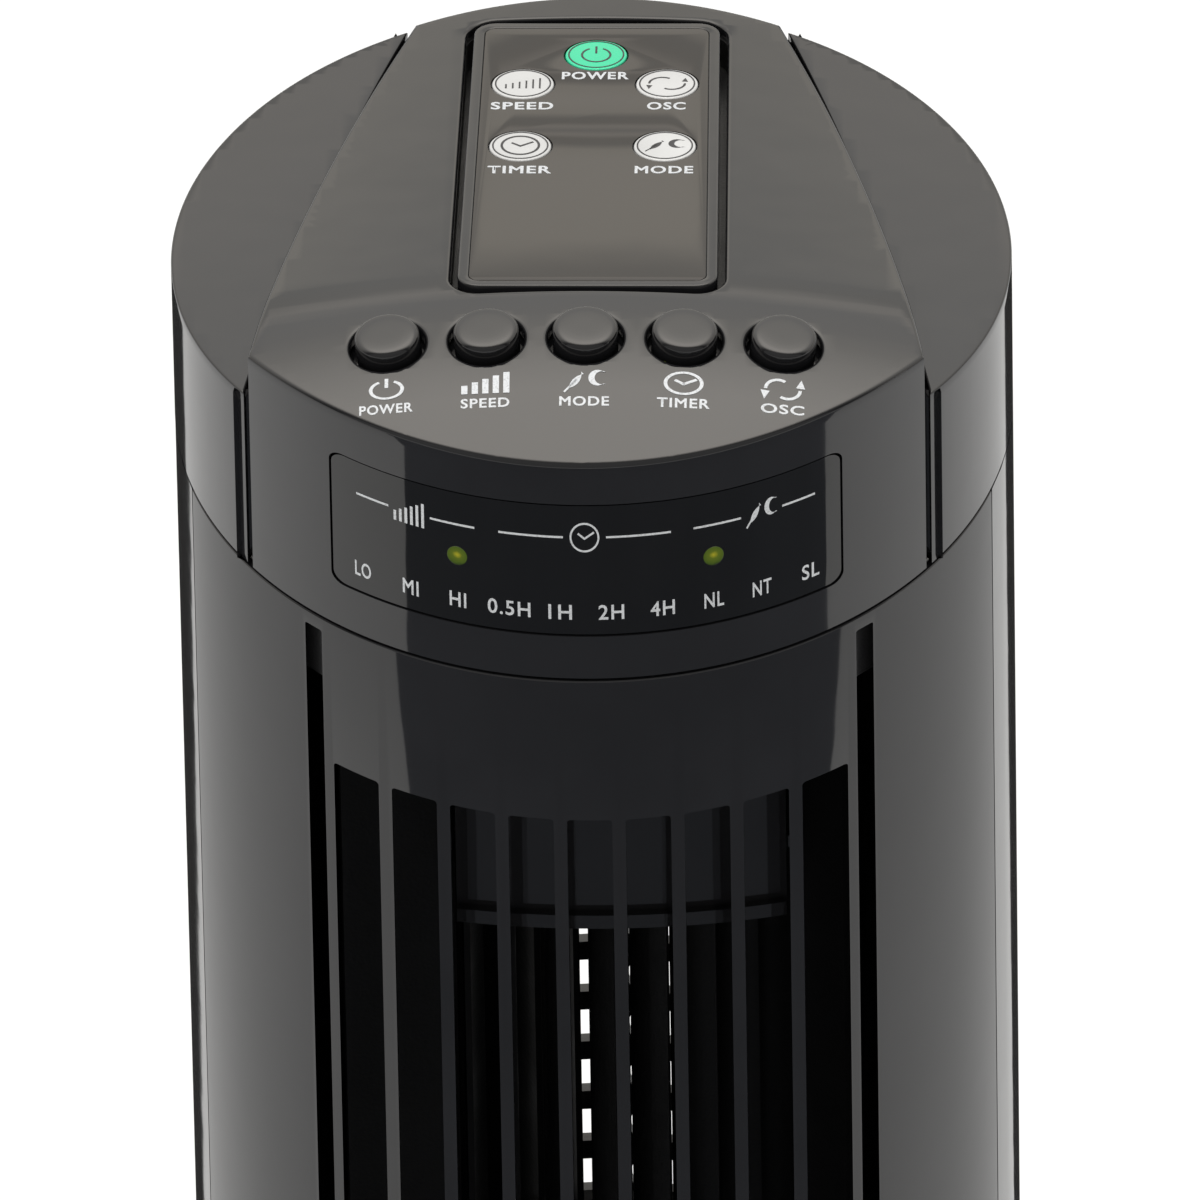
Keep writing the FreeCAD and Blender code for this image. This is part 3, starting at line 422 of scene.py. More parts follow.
black_gloss = gloss_plastic("black_gloss", (0.0105, 0.0105, 0.0115), 0.045, 0.095, 0.00004)
black_matt = grained_plastic("black_matt", (0.013, 0.013, 0.0135), 0.42, 1500.0, 0.00007)
# A far darker copy of the grained black, which also reflects less, paints the shade that the ducts and the
# wheel sit in deep inside the tower.
painted_shade_black = grained_plastic("painted_shade_black", (0.0035, 0.0035, 0.0037), 0.55, 1200.0, 0.00006)
painted_shade_black.node_tree.nodes["Principled BSDF"].inputs["Specular IOR Level"].default_value = 0.2
rubber = grained_plastic("rubber", (0.018, 0.018, 0.018), 0.78, 900.0, 0.00015)
white_acetal = grained_plastic("white_acetal", (0.50, 0.49, 0.45), 0.36, 1100.0, 0.00003)
acetal_shader = white_acetal.node_tree.nodes["Principled BSDF"]
acetal_shader.inputs["Subsurface Weight"].default_value = 0.15
acetal_shader.inputs["Subsurface Radius"].default_value = (0.002, 0.002, 0.0016)
key_white = gloss_plastic("key_white", (0.57, 0.57, 0.56), 0.16, 0.30, 0.00005)
key_green = gloss_plastic("key_green", (0.02, 0.60, 0.31), 0.16, 0.30, 0.00005)
print("plastics:", black_gloss.name, black_matt.name, rubber.name, white_acetal.name)

# %% [markdown]
# ### Metals
# Bright steel is ground along its length, zinc plating shows soft crystals, the cast weight is
# rough from its sand mould, the motor's core is a pack of thin sheets, and the sintered bushes are
# full of pores.

# %% Metals
bright_steel, shader, place = new_finish("bright_steel", 0.2, 1.0)
ground = noise(bright_steel, stretched(bright_steel, place, 1, 1, 0.04), 2600.0, 3.0)
graded(bright_steel, noise(bright_steel, place, 30.0), [(0.3, (0.52, 0.52, 0.53)), (0.7, (0.66, 0.66, 0.66))],
       shader.inputs["Base Color"])
ranged(bright_steel, ground, 0.14, 0.34, shader.inputs["Roughness"])
lifted(bright_steel, shader, ground, 0.00001)

zinc_steel, shader, place = new_finish("zinc_steel", 0.35, 1.0)
crystals = zinc_steel.node_tree.nodes.new("ShaderNodeTexVoronoi")
crystals.inputs["Scale"].default_value = 420.0
zinc_steel.node_tree.links.new(place, crystals.inputs["Vector"])
graded(zinc_steel, crystals.outputs["Distance"], [(0.0, (0.60, 0.61, 0.62)), (0.8, (0.47, 0.49, 0.52))],
       shader.inputs["Base Color"])
ranged(zinc_steel, noise(zinc_steel, place, 130.0), 0.26, 0.46, shader.inputs["Roughness"])
lifted(zinc_steel, shader, crystals.outputs["Distance"], 0.00002)

cast_iron, shader, place = new_finish("cast_iron", 0.62, 0.55)
graded(cast_iron, noise(cast_iron, place, 90.0, 6.0),
       [(0.3, (0.035, 0.034, 0.033)), (0.7, (0.10, 0.085, 0.075))],
       shader.inputs["Base Color"])
ranged(cast_iron, noise(cast_iron, place, 200.0), 0.5, 0.8, shader.inputs["Roughness"])
lifted(cast_iron, shader, noise(cast_iron, place, 700.0, 5.0), 0.0003, 0.8)

laminated_steel, shader, place = new_finish("laminated_steel", 0.4, 1.0)
sheets = laminated_steel.node_tree.nodes.new("ShaderNodeTexWave")
sheets.bands_direction = "Z"
sheets.inputs["Scale"].default_value = 320.0
sheets.inputs["Distortion"].default_value = 0.4
laminated_steel.node_tree.links.new(place, sheets.inputs["Vector"])
graded(laminated_steel, sheets.outputs["Fac"], [(0.1, (0.12, 0.12, 0.13)), (0.5, (0.45, 0.45, 0.46))],
       shader.inputs["Base Color"])
ranged(laminated_steel, noise(laminated_steel, place, 400.0), 0.3, 0.55, shader.inputs["Roughness"])
lifted(laminated_steel, shader, sheets.outputs["Fac"], 0.00012)

sintered_brass, shader, place = new_finish("sintered_brass", 0.4, 1.0)
pores = noise(sintered_brass, place, 2200.0, 4.0, 0.7)
graded(sintered_brass, pores, [(0.38, (0.16, 0.10, 0.035)), (0.5, (0.62, 0.44, 0.19))],
       shader.inputs["Base Color"])
ranged(sintered_brass, noise(sintered_brass, place, 260.0), 0.3, 0.5, shader.inputs["Roughness"])
lifted(sintered_brass, shader, pores, 0.00006)
print("metals ready")

# %% [markdown]
# ### Display, film and electronics
# The display lens is smoked acrylic: dark on both sides, and only a lit lamp shows through it. The
# remote's face is a glossy printed film, brown-grey in the light. Two of the ten lamps are lit,
# which a mask along X picks out. The board is green lacquer over copper tracks.

# %% Display, film and electronics
smoked_lens, shader, place = new_finish("smoked_lens", 0.03, 0.0, 1.49)
graded(smoked_lens, noise(smoked_lens, place, 30.0),
       [(0.3, (0.0025, 0.0025, 0.0027)), (0.7, (0.004, 0.004, 0.004))],
       shader.inputs["Base Color"])
ranged(smoked_lens, noise(smoked_lens, place, 22.0, 5.0), 0.02, 0.05, shader.inputs["Roughness"])
lifted(smoked_lens, shader, noise(smoked_lens, place, 60.0, 1.0), 0.00006)

overlay_film = gloss_plastic("overlay_film", (0.009, 0.0055, 0.0025), 0.06, 0.13, 0.00003)

green_led, shader, place = new_finish("green_led", 0.2)
LIT_LED_X = 25.0 * MM
LED_HALF = 4.0 * MM
axes = green_led.node_tree.nodes.new("ShaderNodeSeparateXYZ")
green_led.node_tree.links.new(place, axes.inputs[0])
width = green_led.node_tree.nodes.new("ShaderNodeMath")
width.operation = "ABSOLUTE"
green_led.node_tree.links.new(axes.outputs["X"], width.inputs[0])
off_by = green_led.node_tree.nodes.new("ShaderNodeMath")
off_by.operation = "SUBTRACT"
off_by.inputs[1].default_value = LIT_LED_X
green_led.node_tree.links.new(width.outputs[0], off_by.inputs[0])
near = green_led.node_tree.nodes.new("ShaderNodeMath")
near.operation = "ABSOLUTE"
green_led.node_tree.links.new(off_by.outputs[0], near.inputs[0])
lit = ranged(green_led, near.outputs[0], 1.0, 0.0, None, LED_HALF * 0.8, LED_HALF)
graded(green_led, lit, [(0.4, (0.0, 0.0, 0.0)), (0.6, (0.34, 0.48, 0.03))], shader.inputs["Emission Color"])
shader.inputs["Emission Strength"].default_value = 9.0
graded(green_led, noise(green_led, place, 900.0), [(0.3, (0.03, 0.075, 0.03)), (0.7, (0.05, 0.12, 0.04))],
       shader.inputs["Base Color"])

circuit_board, shader, place = new_finish("circuit_board", 0.3)
tracks = circuit_board.node_tree.nodes.new("ShaderNodeTexBrick")
tracks.inputs["Scale"].default_value = 160.0
tracks.inputs["Mortar Size"].default_value = 0.06
tracks.inputs["Color1"].default_value = (0.008, 0.07, 0.022, 1)
tracks.inputs["Color2"].default_value = (0.010, 0.09, 0.030, 1)
tracks.inputs["Mortar"].default_value = (0.03, 0.20, 0.06, 1)
circuit_board.node_tree.links.new(place, tracks.inputs["Vector"])
circuit_board.node_tree.links.new(tracks.outputs["Color"], shader.inputs["Base Color"])
ranged(circuit_board, noise(circuit_board, place, 300.0), 0.22, 0.4, shader.inputs["Roughness"])
lifted(circuit_board, shader, tracks.outputs["Fac"], 0.00005)

printed_white, shader, place = new_finish("printed_white", 0.5)
graded(printed_white, noise(printed_white, place, 2500.0, 3.0),
       [(0.30, (0.42, 0.43, 0.44)), (0.5, (0.66, 0.68, 0.70))],
       shader.inputs["Base Color"])
lifted(printed_white, shader, noise(printed_white, place, 4000.0), 0.00001)
printed_dark, shader, place = new_finish("printed_dark", 0.5)
graded(printed_dark, noise(printed_dark, place, 2500.0, 3.0),
       [(0.3, (0.03, 0.03, 0.035)), (0.5, (0.012, 0.012, 0.014))],
       shader.inputs["Base Color"])
lifted(printed_dark, shader, noise(printed_dark, place, 4000.0), 0.00001)
print("finishes so far:", len(bpy.data.materials))

# %% [markdown]
# ### Finishes go on the working parts
# The record gives each part a slot. Every part gets the finish of that name, so nothing is left in
# the plain colour that it was loaded with. The ducts and the wheel deep inside get a much darker black
# in its place, which is painted shade, and the hood gets the gloss black.

# %% Put the finishes on the parts
FINISHES = {
    "black_gloss": black_gloss, "black_matt": black_matt, "rubber": rubber, "zinc_steel": zinc_steel,
    "bright_steel": bright_steel, "cast_iron": cast_iron, "laminated_steel": laminated_steel,
    "sintered_brass": sintered_brass, "white_acetal": white_acetal, "smoked_lens": smoked_lens,
    "overlay_film": overlay_film, "green_led": green_led, "circuit_board": circuit_board,
    "key_white": key_white, "key_green": key_green,
}
# These parts get the darker black: painted shade, not a finish of their own.
PAINTED_SHADE_PARTS = ("impeller_blades", "impeller_discs", "duct_left", "duct_right", "duct_bottom")
slot_of = {subpart["node"]: subpart["material_slot"] for subpart in frame["record"]["subparts"]}
finish_of = {name: FINISHES[slot] for name, slot in slot_of.items()}
finish_of.update({name: painted_shade_black for name in PAINTED_SHADE_PARTS})
finish_of["duct_top"] = black_gloss
for name, part in nodes.items():
    part.data.materials.clear()
    part.data.materials.append(finish_of[name])
print({slot: list(slot_of.values()).count(slot) for slot in sorted(FINISHES)})

# %% [markdown]
# ## Working in edit mode
# The pieces below are made with the same few moves: select edges or faces by where they are, cut
# with a plane, extrude, bridge and round. These helpers keep those moves short. Blender's operators
# act on all that is selected, so each helper starts by clearing the selection.


# %% Helpers for modelling
def alone(piece):
    """Selects one object and nothing else."""
    bpy.ops.object.select_all(action="DESELECT")
    piece.select_set(True)
    bpy.context.view_layer.objects.active = piece
    return piece


def pick(piece, test, kind="FACE"):
    """Selects the faces, edges or vertices of a piece whose middle passes a test, and stays in edit mode."""
    alone(piece)
    bpy.ops.object.mode_set(mode="EDIT")
    bpy.ops.mesh.select_mode(type=kind)
    bpy.ops.mesh.select_all(action="DESELECT")
    bpy.ops.object.mode_set(mode="OBJECT")
    mesh = piece.data
    if kind == "FACE":
        for face in mesh.polygons:
            face.select = test(face.center)
    elif kind == "VERT":
        for vertex in mesh.vertices:
            vertex.select = test(vertex.co)
    else:
        for edge in mesh.edges:
            a, b = (mesh.vertices[i].co for i in edge.vertices)
            edge.select = test(a, b)
    bpy.ops.object.mode_set(mode="EDIT")


def cut(piece, point, normal, clear_inner=False, clear_outer=False, fill=False):
    """Cuts the whole mesh with a plane; the normal points to the outer side."""
    alone(piece)
    bpy.ops.object.mode_set(mode="EDIT")
    bpy.ops.mesh.select_all(action="SELECT")
    bpy.ops.mesh.bisect(plane_co=point, plane_no=normal, clear_inner=clear_inner, clear_outer=clear_outer,
                        use_fill=fill)
    bpy.ops.object.mode_set(mode="OBJECT")


def tidied(piece, sharp=30.0, merge=0.000002):
    """Welds doubles, turns the faces outwards and shades smooth up to the sharp angle."""
    alone(piece)
    bpy.ops.object.mode_set(mode="EDIT")
    bpy.ops.mesh.select_all(action="SELECT")
    bpy.ops.mesh.remove_doubles(threshold=merge)
    bpy.ops.mesh.normals_make_consistent(inside=False)
    bpy.ops.object.mode_set(mode="OBJECT")
    bpy.ops.object.shade_smooth_by_angle(angle=radians(sharp))
    return piece


def applied(piece, kind, **settings):
    """Adds a modifier with its settings and applies it."""
    alone(piece)
    modifier = piece.modifiers.new(kind.lower(), kind)
    for setting, value in settings.items():
        setattr(modifier, setting, value)
    bpy.ops.object.modifier_apply(modifier=modifier.name)
    return piece


def carved(piece, tool, operation="DIFFERENCE"):
    """Boolean with a tool, which is thrown away afterwards."""
    applied(piece, "BOOLEAN", object=tool, operation=operation, solver="EXACT")
    bpy.data.objects.remove(tool)
    return piece


def joined(name, pieces):
    """Joins pieces into one object."""
    alone(pieces[0])
    for piece in pieces:
        piece.select_set(True)
    bpy.ops.object.join()
    whole = bpy.context.object
    whole.name = name
    whole.data.name = name
    return whole


def dressed(piece, body, finish, slot, *replaced):
    """Gives a piece its finish and its body, and hides the plain parts it stands for. The slot is not used.
    """
    piece.data.materials.clear()
    piece.data.materials.append(finish)
    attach(piece, body)
    if replaced:
        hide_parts(*replaced)
    print(piece.name, len(piece.data.polygons), "faces on", body)
    return piece


# %% [markdown]
# ## Outlines
# Flat shapes start as a closed curve, as a toolmaker draws them. A two-dimensional curve fills
# itself, leaves out the outlines that lie inside it, and rounds its own rims, which makes clean
# plates with holes. Only arcs and straight runs are needed, so an outline is a list of a few points
# with its round stretches worked out by a loop.


# %% Arcs and plates
def arc(centre, radius, start, end, count):
    """Points on an arc from one angle to another, both included."""
    steps = [start + (end - start) * i / count for i in range(count + 1)]
    return [(centre[0] + radius * cos(a), centre[1] + radius * sin(a)) for a in steps]


def round_box(half_x, half_y, radius, middle=(0.0, 0.0), taper=0.0):
    """A rectangle with round corners; taper narrows its far end on each side."""
    points = []
    for quarter, (sx, sy) in enumerate(((1, -1), (1, 1), (-1, 1), (-1, -1))):
        half = half_x - (taper if sy > 0 else 0.0)
        corner = (middle[0] + sx * (half - radius), middle[1] + sy * (half_y - radius))
        start = -pi / 2 + quarter * pi / 2
        points += arc(corner, radius, start, start + pi / 2, 8)
    return points


def ring_points(radius, middle=(0.0, 0.0), count=72):
    return arc(middle, radius, 0.0, 2 * pi * (1 - 1 / count), count - 1)


def plate(name, outlines, z0, z1, rim=0.0, rim_steps=2):
    """A plate between two heights. The first outline is its edge and the others are holes."""
    curve = bpy.data.curves.new(name, "CURVE")
    curve.dimensions = "2D"
    curve.fill_mode = "BOTH"
    curve.extrude = (z1 - z0) / 2 - rim
    curve.bevel_depth = rim
    curve.bevel_resolution = rim_steps
    curve.offset = -rim
    for index, outline in enumerate(outlines):
        points = outline if index == 0 else outline[::-1]
        spline = curve.splines.new("POLY")
        spline.points.add(len(points) - 1)
        for point, (x, y) in zip(spline.points, points):
            point.co = (x, y, 0.0, 1.0)
        spline.use_cyclic_u = True
    piece = bpy.data.objects.new(name, curve)
    bpy.context.scene.collection.objects.link(piece)
    alone(piece)
    bpy.ops.object.convert(target="MESH")
    piece = bpy.context.object
    bpy.ops.object.mode_set(mode="EDIT")
    bpy.ops.mesh.select_all(action="SELECT")
    bpy.ops.transform.translate(value=(0, 0, (z0 + z1) / 2))
    bpy.ops.object.mode_set(mode="OBJECT")
    return tidied(piece)


# %% [markdown]
# ## Top cap
# The cap is three mouldings: a centre panel that falls gently to the rear and rolls over to the
# front lip, and a lower wing on each side. Their tops are not flat anywhere, so a plate is drawn
# flat first, with every hole and its rounded rim, while that is easy. Its rim is then extruded down
# to the seam, it is cut into a fine net, and a displace modifier lifts each point by the height
# that the form has there. Solidify gives the wall. Doing it in this order keeps the rims even.

# %% Where the top's surfaces lie
CROWN_FALL = radians(12.3)
CROWN_BREAK_Y = -28.0 * MM
CROWN_BREAK_RISE = 58.7 * MM
CROWN_ROLL_R = 98.0 * MM
CROWN_ACROSS_R = 352.0 * MM
WING_RISE = 41.0 * MM
WING_FALL = radians(5.6)
WING_ACROSS_R = 1200.0 * MM
WING_GAP = 1.3 * MM
SEAM_POINTS = ((67.0, -56.0), (55.7, 3.2), (32.8, 84.0))   # millimetres, front to rear


def across(height, low, x):
    """Height at x of a line that is swung about an axis low below the seam's plane."""
    return SEAM_Z + low + sqrt((height - low) ** 2 - x * x)


def crown_height(x, y):
    """The centre panel's surface."""
    if y > CROWN_BREAK_Y:
        height = CROWN_BREAK_RISE - (y - CROWN_BREAK_Y) * tan(CROWN_FALL)
    else:
        middle_y = CROWN_BREAK_Y - CROWN_ROLL_R * sin(CROWN_FALL)
        middle_z = CROWN_BREAK_RISE - CROWN_ROLL_R * cos(CROWN_FALL)
        height = middle_z + sqrt(CROWN_ROLL_R ** 2 - (y - middle_y) ** 2)
    return across(height, CROWN_BREAK_RISE - CROWN_ACROSS_R, x)


def wing_height(x, y):
    """The wings' surface."""
    return across(WING_RISE - y * tan(WING_FALL), WING_RISE - WING_ACROSS_R, x)


def seam_side(grow):
    """The panel's right side from the front to the rear: an arc that ends on the tower's circle."""
    front, middle, rear = [Vector((x * MM + grow, y * MM)) for x, y in SEAM_POINTS]
    chord_a, chord_b = middle - front, rear - middle
    mid_a, mid_b = (front + middle) / 2, (middle + rear) / 2
    across_a = Vector((-chord_a.y, chord_a.x))
    reach = (mid_b - mid_a).dot(chord_b) / across_a.dot(chord_b)
    centre = mid_a + across_a * reach
    radius = (front - centre).length
    apart = centre.length
    along = (TOWER_R ** 2 - radius ** 2 + apart ** 2) / (2 * apart)
    off = sqrt(TOWER_R ** 2 - along ** 2)
    unit = centre / apart
    side = Vector((-unit.y, unit.x))
    ends = sorted((unit * along + side * off, unit * along - side * off), key=lambda point: point.y)
    angles = [atan2(end.y - centre.y, end.x - centre.x) for end in ends]
    return arc(centre, radius, angles[0], angles[1], 44)


def mirrored(points):
    return [(-x, y) for x, y in points[::-1]]


print("panel top", round(crown_height(0, CROWN_BREAK_Y), 4), "wing top", round(wing_height(0.07, 0), 4))


# %% A skin pressed over its form
def cap_skin(name, outlines, height, outside, rim, net=3.0 * MM):
    """A thin moulding with its rims rounded: drawn flat, then lifted to its height."""
    skirt = 20.0 * MM
    piece = plate(name, outlines, -8 * MM, 0.0, rim, 3)
    cut(piece, (0, 0, -WALL), (0, 0, 1), clear_inner=True)
    pick(piece, lambda a, b: max(a.z, b.z) < -WALL + 0.01 * MM and outside(a) and outside(b), "EDGE")
    bpy.ops.mesh.extrude_region_move(TRANSFORM_OT_translate={"value": (0, 0, -skirt)})
    bpy.ops.object.mode_set(mode="OBJECT")
    half = ceil(TOWER_R / net)
    for step in range(-half, half + 1):
        cut(piece, (step * net + net / 3, 0, 0), (1, 0, 0))
        cut(piece, (0, step * net + net / 3, 0), (0, 1, 0))
    lift = piece.vertex_groups.new(name="lift")
    for vertex in piece.data.vertices:
        if vertex.co.z < -WALL - skirt / 2:
            rise = SEAM_Z - vertex.co.z
        else:
            rise = height(vertex.co.x, vertex.co.y)
        lift.add([vertex.index], rise, "REPLACE")
    applied(piece, "DISPLACE", direction="Z", mid_level=0.0, strength=1.0, vertex_group="lift")
    piece.vertex_groups.clear()
    tidied(piece)
    applied(piece, "SOLIDIFY", thickness=WALL * 0.97, offset=-1.0)
    return piece


# %% Centre panel
BUTTON_Y = -50.5 * MM
BUTTON_PITCH = 19.3 * MM
BUTTON_HOLE_R = 7.45 * MM
REMOTE_HALF_LENGTH = 54.5 * MM
REMOTE_HALF_FRONT = 25.4 * MM
REMOTE_TAPER = 1.1 * MM
REMOTE_CORNER_R = 4.5 * MM
REMOTE_Y = 19.0 * MM
DOCK_GAP = 1.5 * MM
button_x = [(i - 2) * BUTTON_PITCH for i in range(5)]


def remote_outline(grow, stretch=1.0, middle_y=0.0):
    box = round_box(REMOTE_HALF_FRONT + grow, REMOTE_HALF_LENGTH + grow, REMOTE_CORNER_R + grow,
                    (0.0, 0.0), REMOTE_TAPER)
    return [(x, middle_y + y * stretch) for x, y in box]


right_side = seam_side(0.0)
front_angle = atan2(right_side[0][1], right_side[0][0])
rear_angle = atan2(right_side[-1][1], right_side[-1][0])
panel_outline = arc((0, 0), TOWER_R, -pi - front_angle, front_angle, 150)[:-1] + right_side[:-1]
panel_outline += arc((0, 0), TOWER_R, rear_angle, pi - rear_angle, 60)[:-1] + mirrored(right_side)[:-1]
dock_hole = remote_outline(DOCK_GAP, cos(CROWN_FALL), REMOTE_Y)
button_holes = [ring_points(BUTTON_HOLE_R, (x, BUTTON_Y), 96) for x in button_x]


def off_the_holes(point):
    in_dock = abs(point.x) < 30 * MM and -39 * MM < point.y < 76 * MM
    in_button = abs(point.y - BUTTON_Y) < 8 * MM and min(abs(point.x - x) for x in button_x) < 8 * MM
    return not in_dock and not in_button


top_panel = cap_skin("top_panel_skin", [panel_outline, dock_hole] + button_holes, crown_height, off_the_holes,
                     0.9 * MM)

# %% [markdown]
# The display window is cut through the panel's front wall with a plate stood on edge.

# %% Display window
LENS_HALF = 49.6 * MM
LENS_Z = (SEAM_Z + 11.3 * MM, SEAM_Z + 44.5 * MM)
LENS_CORNER_R = 2.6 * MM
LENS_GAP = 0.45 * MM


def upright_tool(name, outline, y0, y1):
    """A plate whose outline lies in X and Z, between two depths."""
    tool = plate(name, [outline], y0, y1)
    tool.data.transform(Matrix(((1, 0, 0, 0), (0, 0, 1, 0), (0, 1, 0, 0), (0, 0, 0, 1))))
    tool.data.flip_normals()
    return tool


lens_middle = (0.0, (LENS_Z[0] + LENS_Z[1]) / 2)
lens_half_height = (LENS_Z[1] - LENS_Z[0]) / 2
window = round_box(LENS_HALF + LENS_GAP, lens_half_height + LENS_GAP, LENS_CORNER_R, lens_middle)
carved(top_panel, upright_tool("window_tool", window, -95 * MM, -50 * MM))
tidied(top_panel)
dressed(top_panel, "tower", black_gloss, "black_gloss", "top_panel_center")

# %% Wings
wing_side = seam_side(WING_GAP)
start = atan2(wing_side[0][1], wing_side[0][0])
end = atan2(wing_side[-1][1], wing_side[-1][0])
wing_outline = arc((0, 0), TOWER_R, start, end, 120)[:-1] + wing_side[::-1][:-1]
for side, outline in (("right", wing_outline), ("left", mirrored(wing_outline))):
    wing = cap_skin("wing_" + side, [outline], wing_height, lambda point: True, 0.5 * MM)
    tidied(wing)
    dressed(wing, "tower", black_gloss, "black_gloss", "top_wing_" + side)

# %% [markdown]
# ## Front shell
# The front half of the tower is one moulding with nine tall openings and a long shadow slot at each
# side. The mould opens along Y, so all of these have walls that run straight back, however far
# round the tower they are. The curved wall is drawn as a slice of a ring and raised; deeper bars are
# joined on behind, and a row of tall plates cuts the openings with their small corner radii.

# %% Front shell
GRILLE_Z = (112.0 * MM, 639.0 * MM)
GRILLE_PITCH = 11.5 * MM
GRILLE_HALF_GAP = 4.45 * MM
GRILLE_BACK_R = 76.5 * MM
SLOT_X = 53.95 * MM
SLOT_HALF = 1.65 * MM
SLOT_Z = (84.0 * MM, 672.0 * MM)
FRONT_HALF_ANGLE = radians(72.0)
SHELL_TOP_Z = SEAM_Z - SEAM_GAP
TIE_HEIGHTS = (206.0, 300.0, 394.0, 488.0)   # millimetres, thin ties behind the bars


def ring_slice(r_out, r_in, middle, half_angle, count=144):
    """Outline of a slice of a ring about a compass direction, 0 being +X."""
    outer = arc((0, 0), r_out, middle - half_angle, middle + half_angle, count)
    inner = arc((0, 0), r_in, middle + half_angle, middle - half_angle, count)
    return outer + inner


def tall_tool(name, x, half, heights, corner, y0, y1):
    middle = (x, (heights[0] + heights[1]) / 2)
    outline = round_box(half, (heights[1] - heights[0]) / 2, corner, middle)
    return upright_tool(name, outline, y0, y1)


front_shell = plate("front_shell_skin", [ring_slice(TOWER_R, TOWER_R - WALL, -pi / 2, FRONT_HALF_ANGLE)],
                    SHELL_Z, SHELL_TOP_Z, 0.35 * MM)
backing = plate("bars_behind", [ring_slice(TOWER_R - 1 * MM, GRILLE_BACK_R, -pi / 2, radians(38.2), 60)],
                GRILLE_Z[0] - 8 * MM, GRILLE_Z[1] + 6 * MM)
carved(front_shell, backing, "UNION")
tools = []
for i in range(9):
    tools.append(tall_tool("opening", (i - 4) * GRILLE_PITCH, GRILLE_HALF_GAP, GRILLE_Z, 0.8 * MM,
                           -95 * MM, -35 * MM))
for side in (-1, 1):
    tools.append(tall_tool("slot", side * SLOT_X, SLOT_HALF, SLOT_Z, 0.5 * MM, -95 * MM, -45 * MM))
carved(front_shell, joined("openings", tools))
tidied(front_shell)


def on_outer_rim(a, b):
    """Edges of the openings and slots, on the tower's outer face."""
    middle = (a + b) / 2
    outside = hypot(middle.x, middle.y) > TOWER_R - 0.05 * MM
    if not outside or abs(middle.x) > SLOT_X + SLOT_HALF + 0.1 * MM:
        return False
    if not SLOT_Z[0] - MM < middle.z < SLOT_Z[1] + 0.01 * MM:
        return False
    upright = abs(a.x - b.x) < 0.001 * MM and abs(a.z - b.z) > 20 * MM
    column = round(middle.x / GRILLE_PITCH)
    at_side = abs(abs(middle.x - column * GRILLE_PITCH) - GRILLE_HALF_GAP) < 0.02 * MM and abs(column) < 5
    at_slot = abs(abs(abs(middle.x) - SLOT_X) - SLOT_HALF) < 0.02 * MM
    return upright and (at_side or at_slot)


pick(front_shell, on_outer_rim, "EDGE")
print("rim edges:", sum(edge.select for edge in bpy.context.edit_object.data.edges))
bpy.ops.mesh.bevel(offset=0.42 * MM, segments=1, affect="EDGES", clamp_overlap=True)
bpy.ops.object.mode_set(mode="OBJECT")
tidied(front_shell)
for height in TIE_HEIGHTS:
    tie = plate("tie", [ring_slice(GRILLE_BACK_R + 2 * MM, GRILLE_BACK_R, -pi / 2, radians(38.0), 60)],
                (height - 1.5) * MM, (height + 1.5) * MM, 0.3 * MM)
    front_shell = joined("front_shell_skin", [front_shell, tie])
bpy.ops.object.shade_smooth_by_angle(angle=radians(30))
dressed(front_shell, "tower", black_gloss, "black_gloss", "front_shell")

# %% [markdown]
# ## Display
# The lens is a thin slab bent to the tower's radius. It is what a ring slice and an upright rounded
# plate have in common. On its face go the scale's words and marks, as ink a twentieth of a
# millimetre thick.

# %% Display lens
LENS_FACE_R = TOWER_R - 0.2 * MM
lens = plate("lens", [ring_slice(LENS_FACE_R, TOWER_R - 1.9 * MM, -pi / 2, radians(41))],
             LENS_Z[0] - 2 * MM, LENS_Z[1] + 2 * MM)
lens_shape = round_box(LENS_HALF, lens_half_height, LENS_CORNER_R, lens_middle)
carved(lens, upright_tool("lens_tool", lens_shape, -95 * MM, -50 * MM), "INTERSECT")
tidied(lens)
dressed(lens, "tower", smoked_lens, "smoked_lens", "display_lens")

# %% [markdown]
# ## Push buttons
# Five round caps stand in their holes. One is turned and rounded from a cylinder: the top edge gets
# a large round bevel, the crown of the cap is inset and raised a little, step by step, to a low dome,
# and a flange and a stem go on below. It is then copied to each hole and leaned with the panel.

# %% One button and its copies
BUTTON_R = 6.4 * MM
BUTTON_PROUD = 2.7 * MM
BUTTON_FOOT = -4.4 * MM
STEM_END_Z = SEAM_Z + 49.0 * MM
BUTTON_NAMES = ("power", "speed", "mode", "timer", "osc")


def cylinder(name, radius, z0, z1, sides=96, middle=(0.0, 0.0)):
    """A cylinder between two heights, with its place in its mesh."""
    bpy.ops.object.select_all(action="DESELECT")
    bpy.ops.mesh.primitive_cylinder_add(vertices=sides, radius=radius, depth=z1 - z0,
                                        location=(middle[0], middle[1], (z0 + z1) / 2))
    piece = bpy.context.object
    piece.name = name
    piece.data.name = name
    bpy.ops.object.transform_apply(location=True, rotation=True, scale=True)
    return piece


def round_top(piece, top, radius, segments=5):
    """Rounds the edge where a piece's side meets its top."""
    pick(piece, lambda a, b: min(a.z, b.z) > top - 0.01 * MM, "EDGE")
    bpy.ops.mesh.bevel(offset=radius, segments=segments, affect="EDGES")
    bpy.ops.object.mode_set(mode="OBJECT")


def dished(piece, top, insets):
    """Insets the top face again and again, and moves it up or down each time."""
    pick(piece, lambda middle: middle.z > top - 0.01 * MM and hypot(middle.x, middle.y) < 0.5 * MM)
    for inset, rise in insets:
        bpy.ops.mesh.inset(thickness=inset)
        bpy.ops.transform.translate(value=(0, 0, rise))
    bpy.ops.object.mode_set(mode="OBJECT")


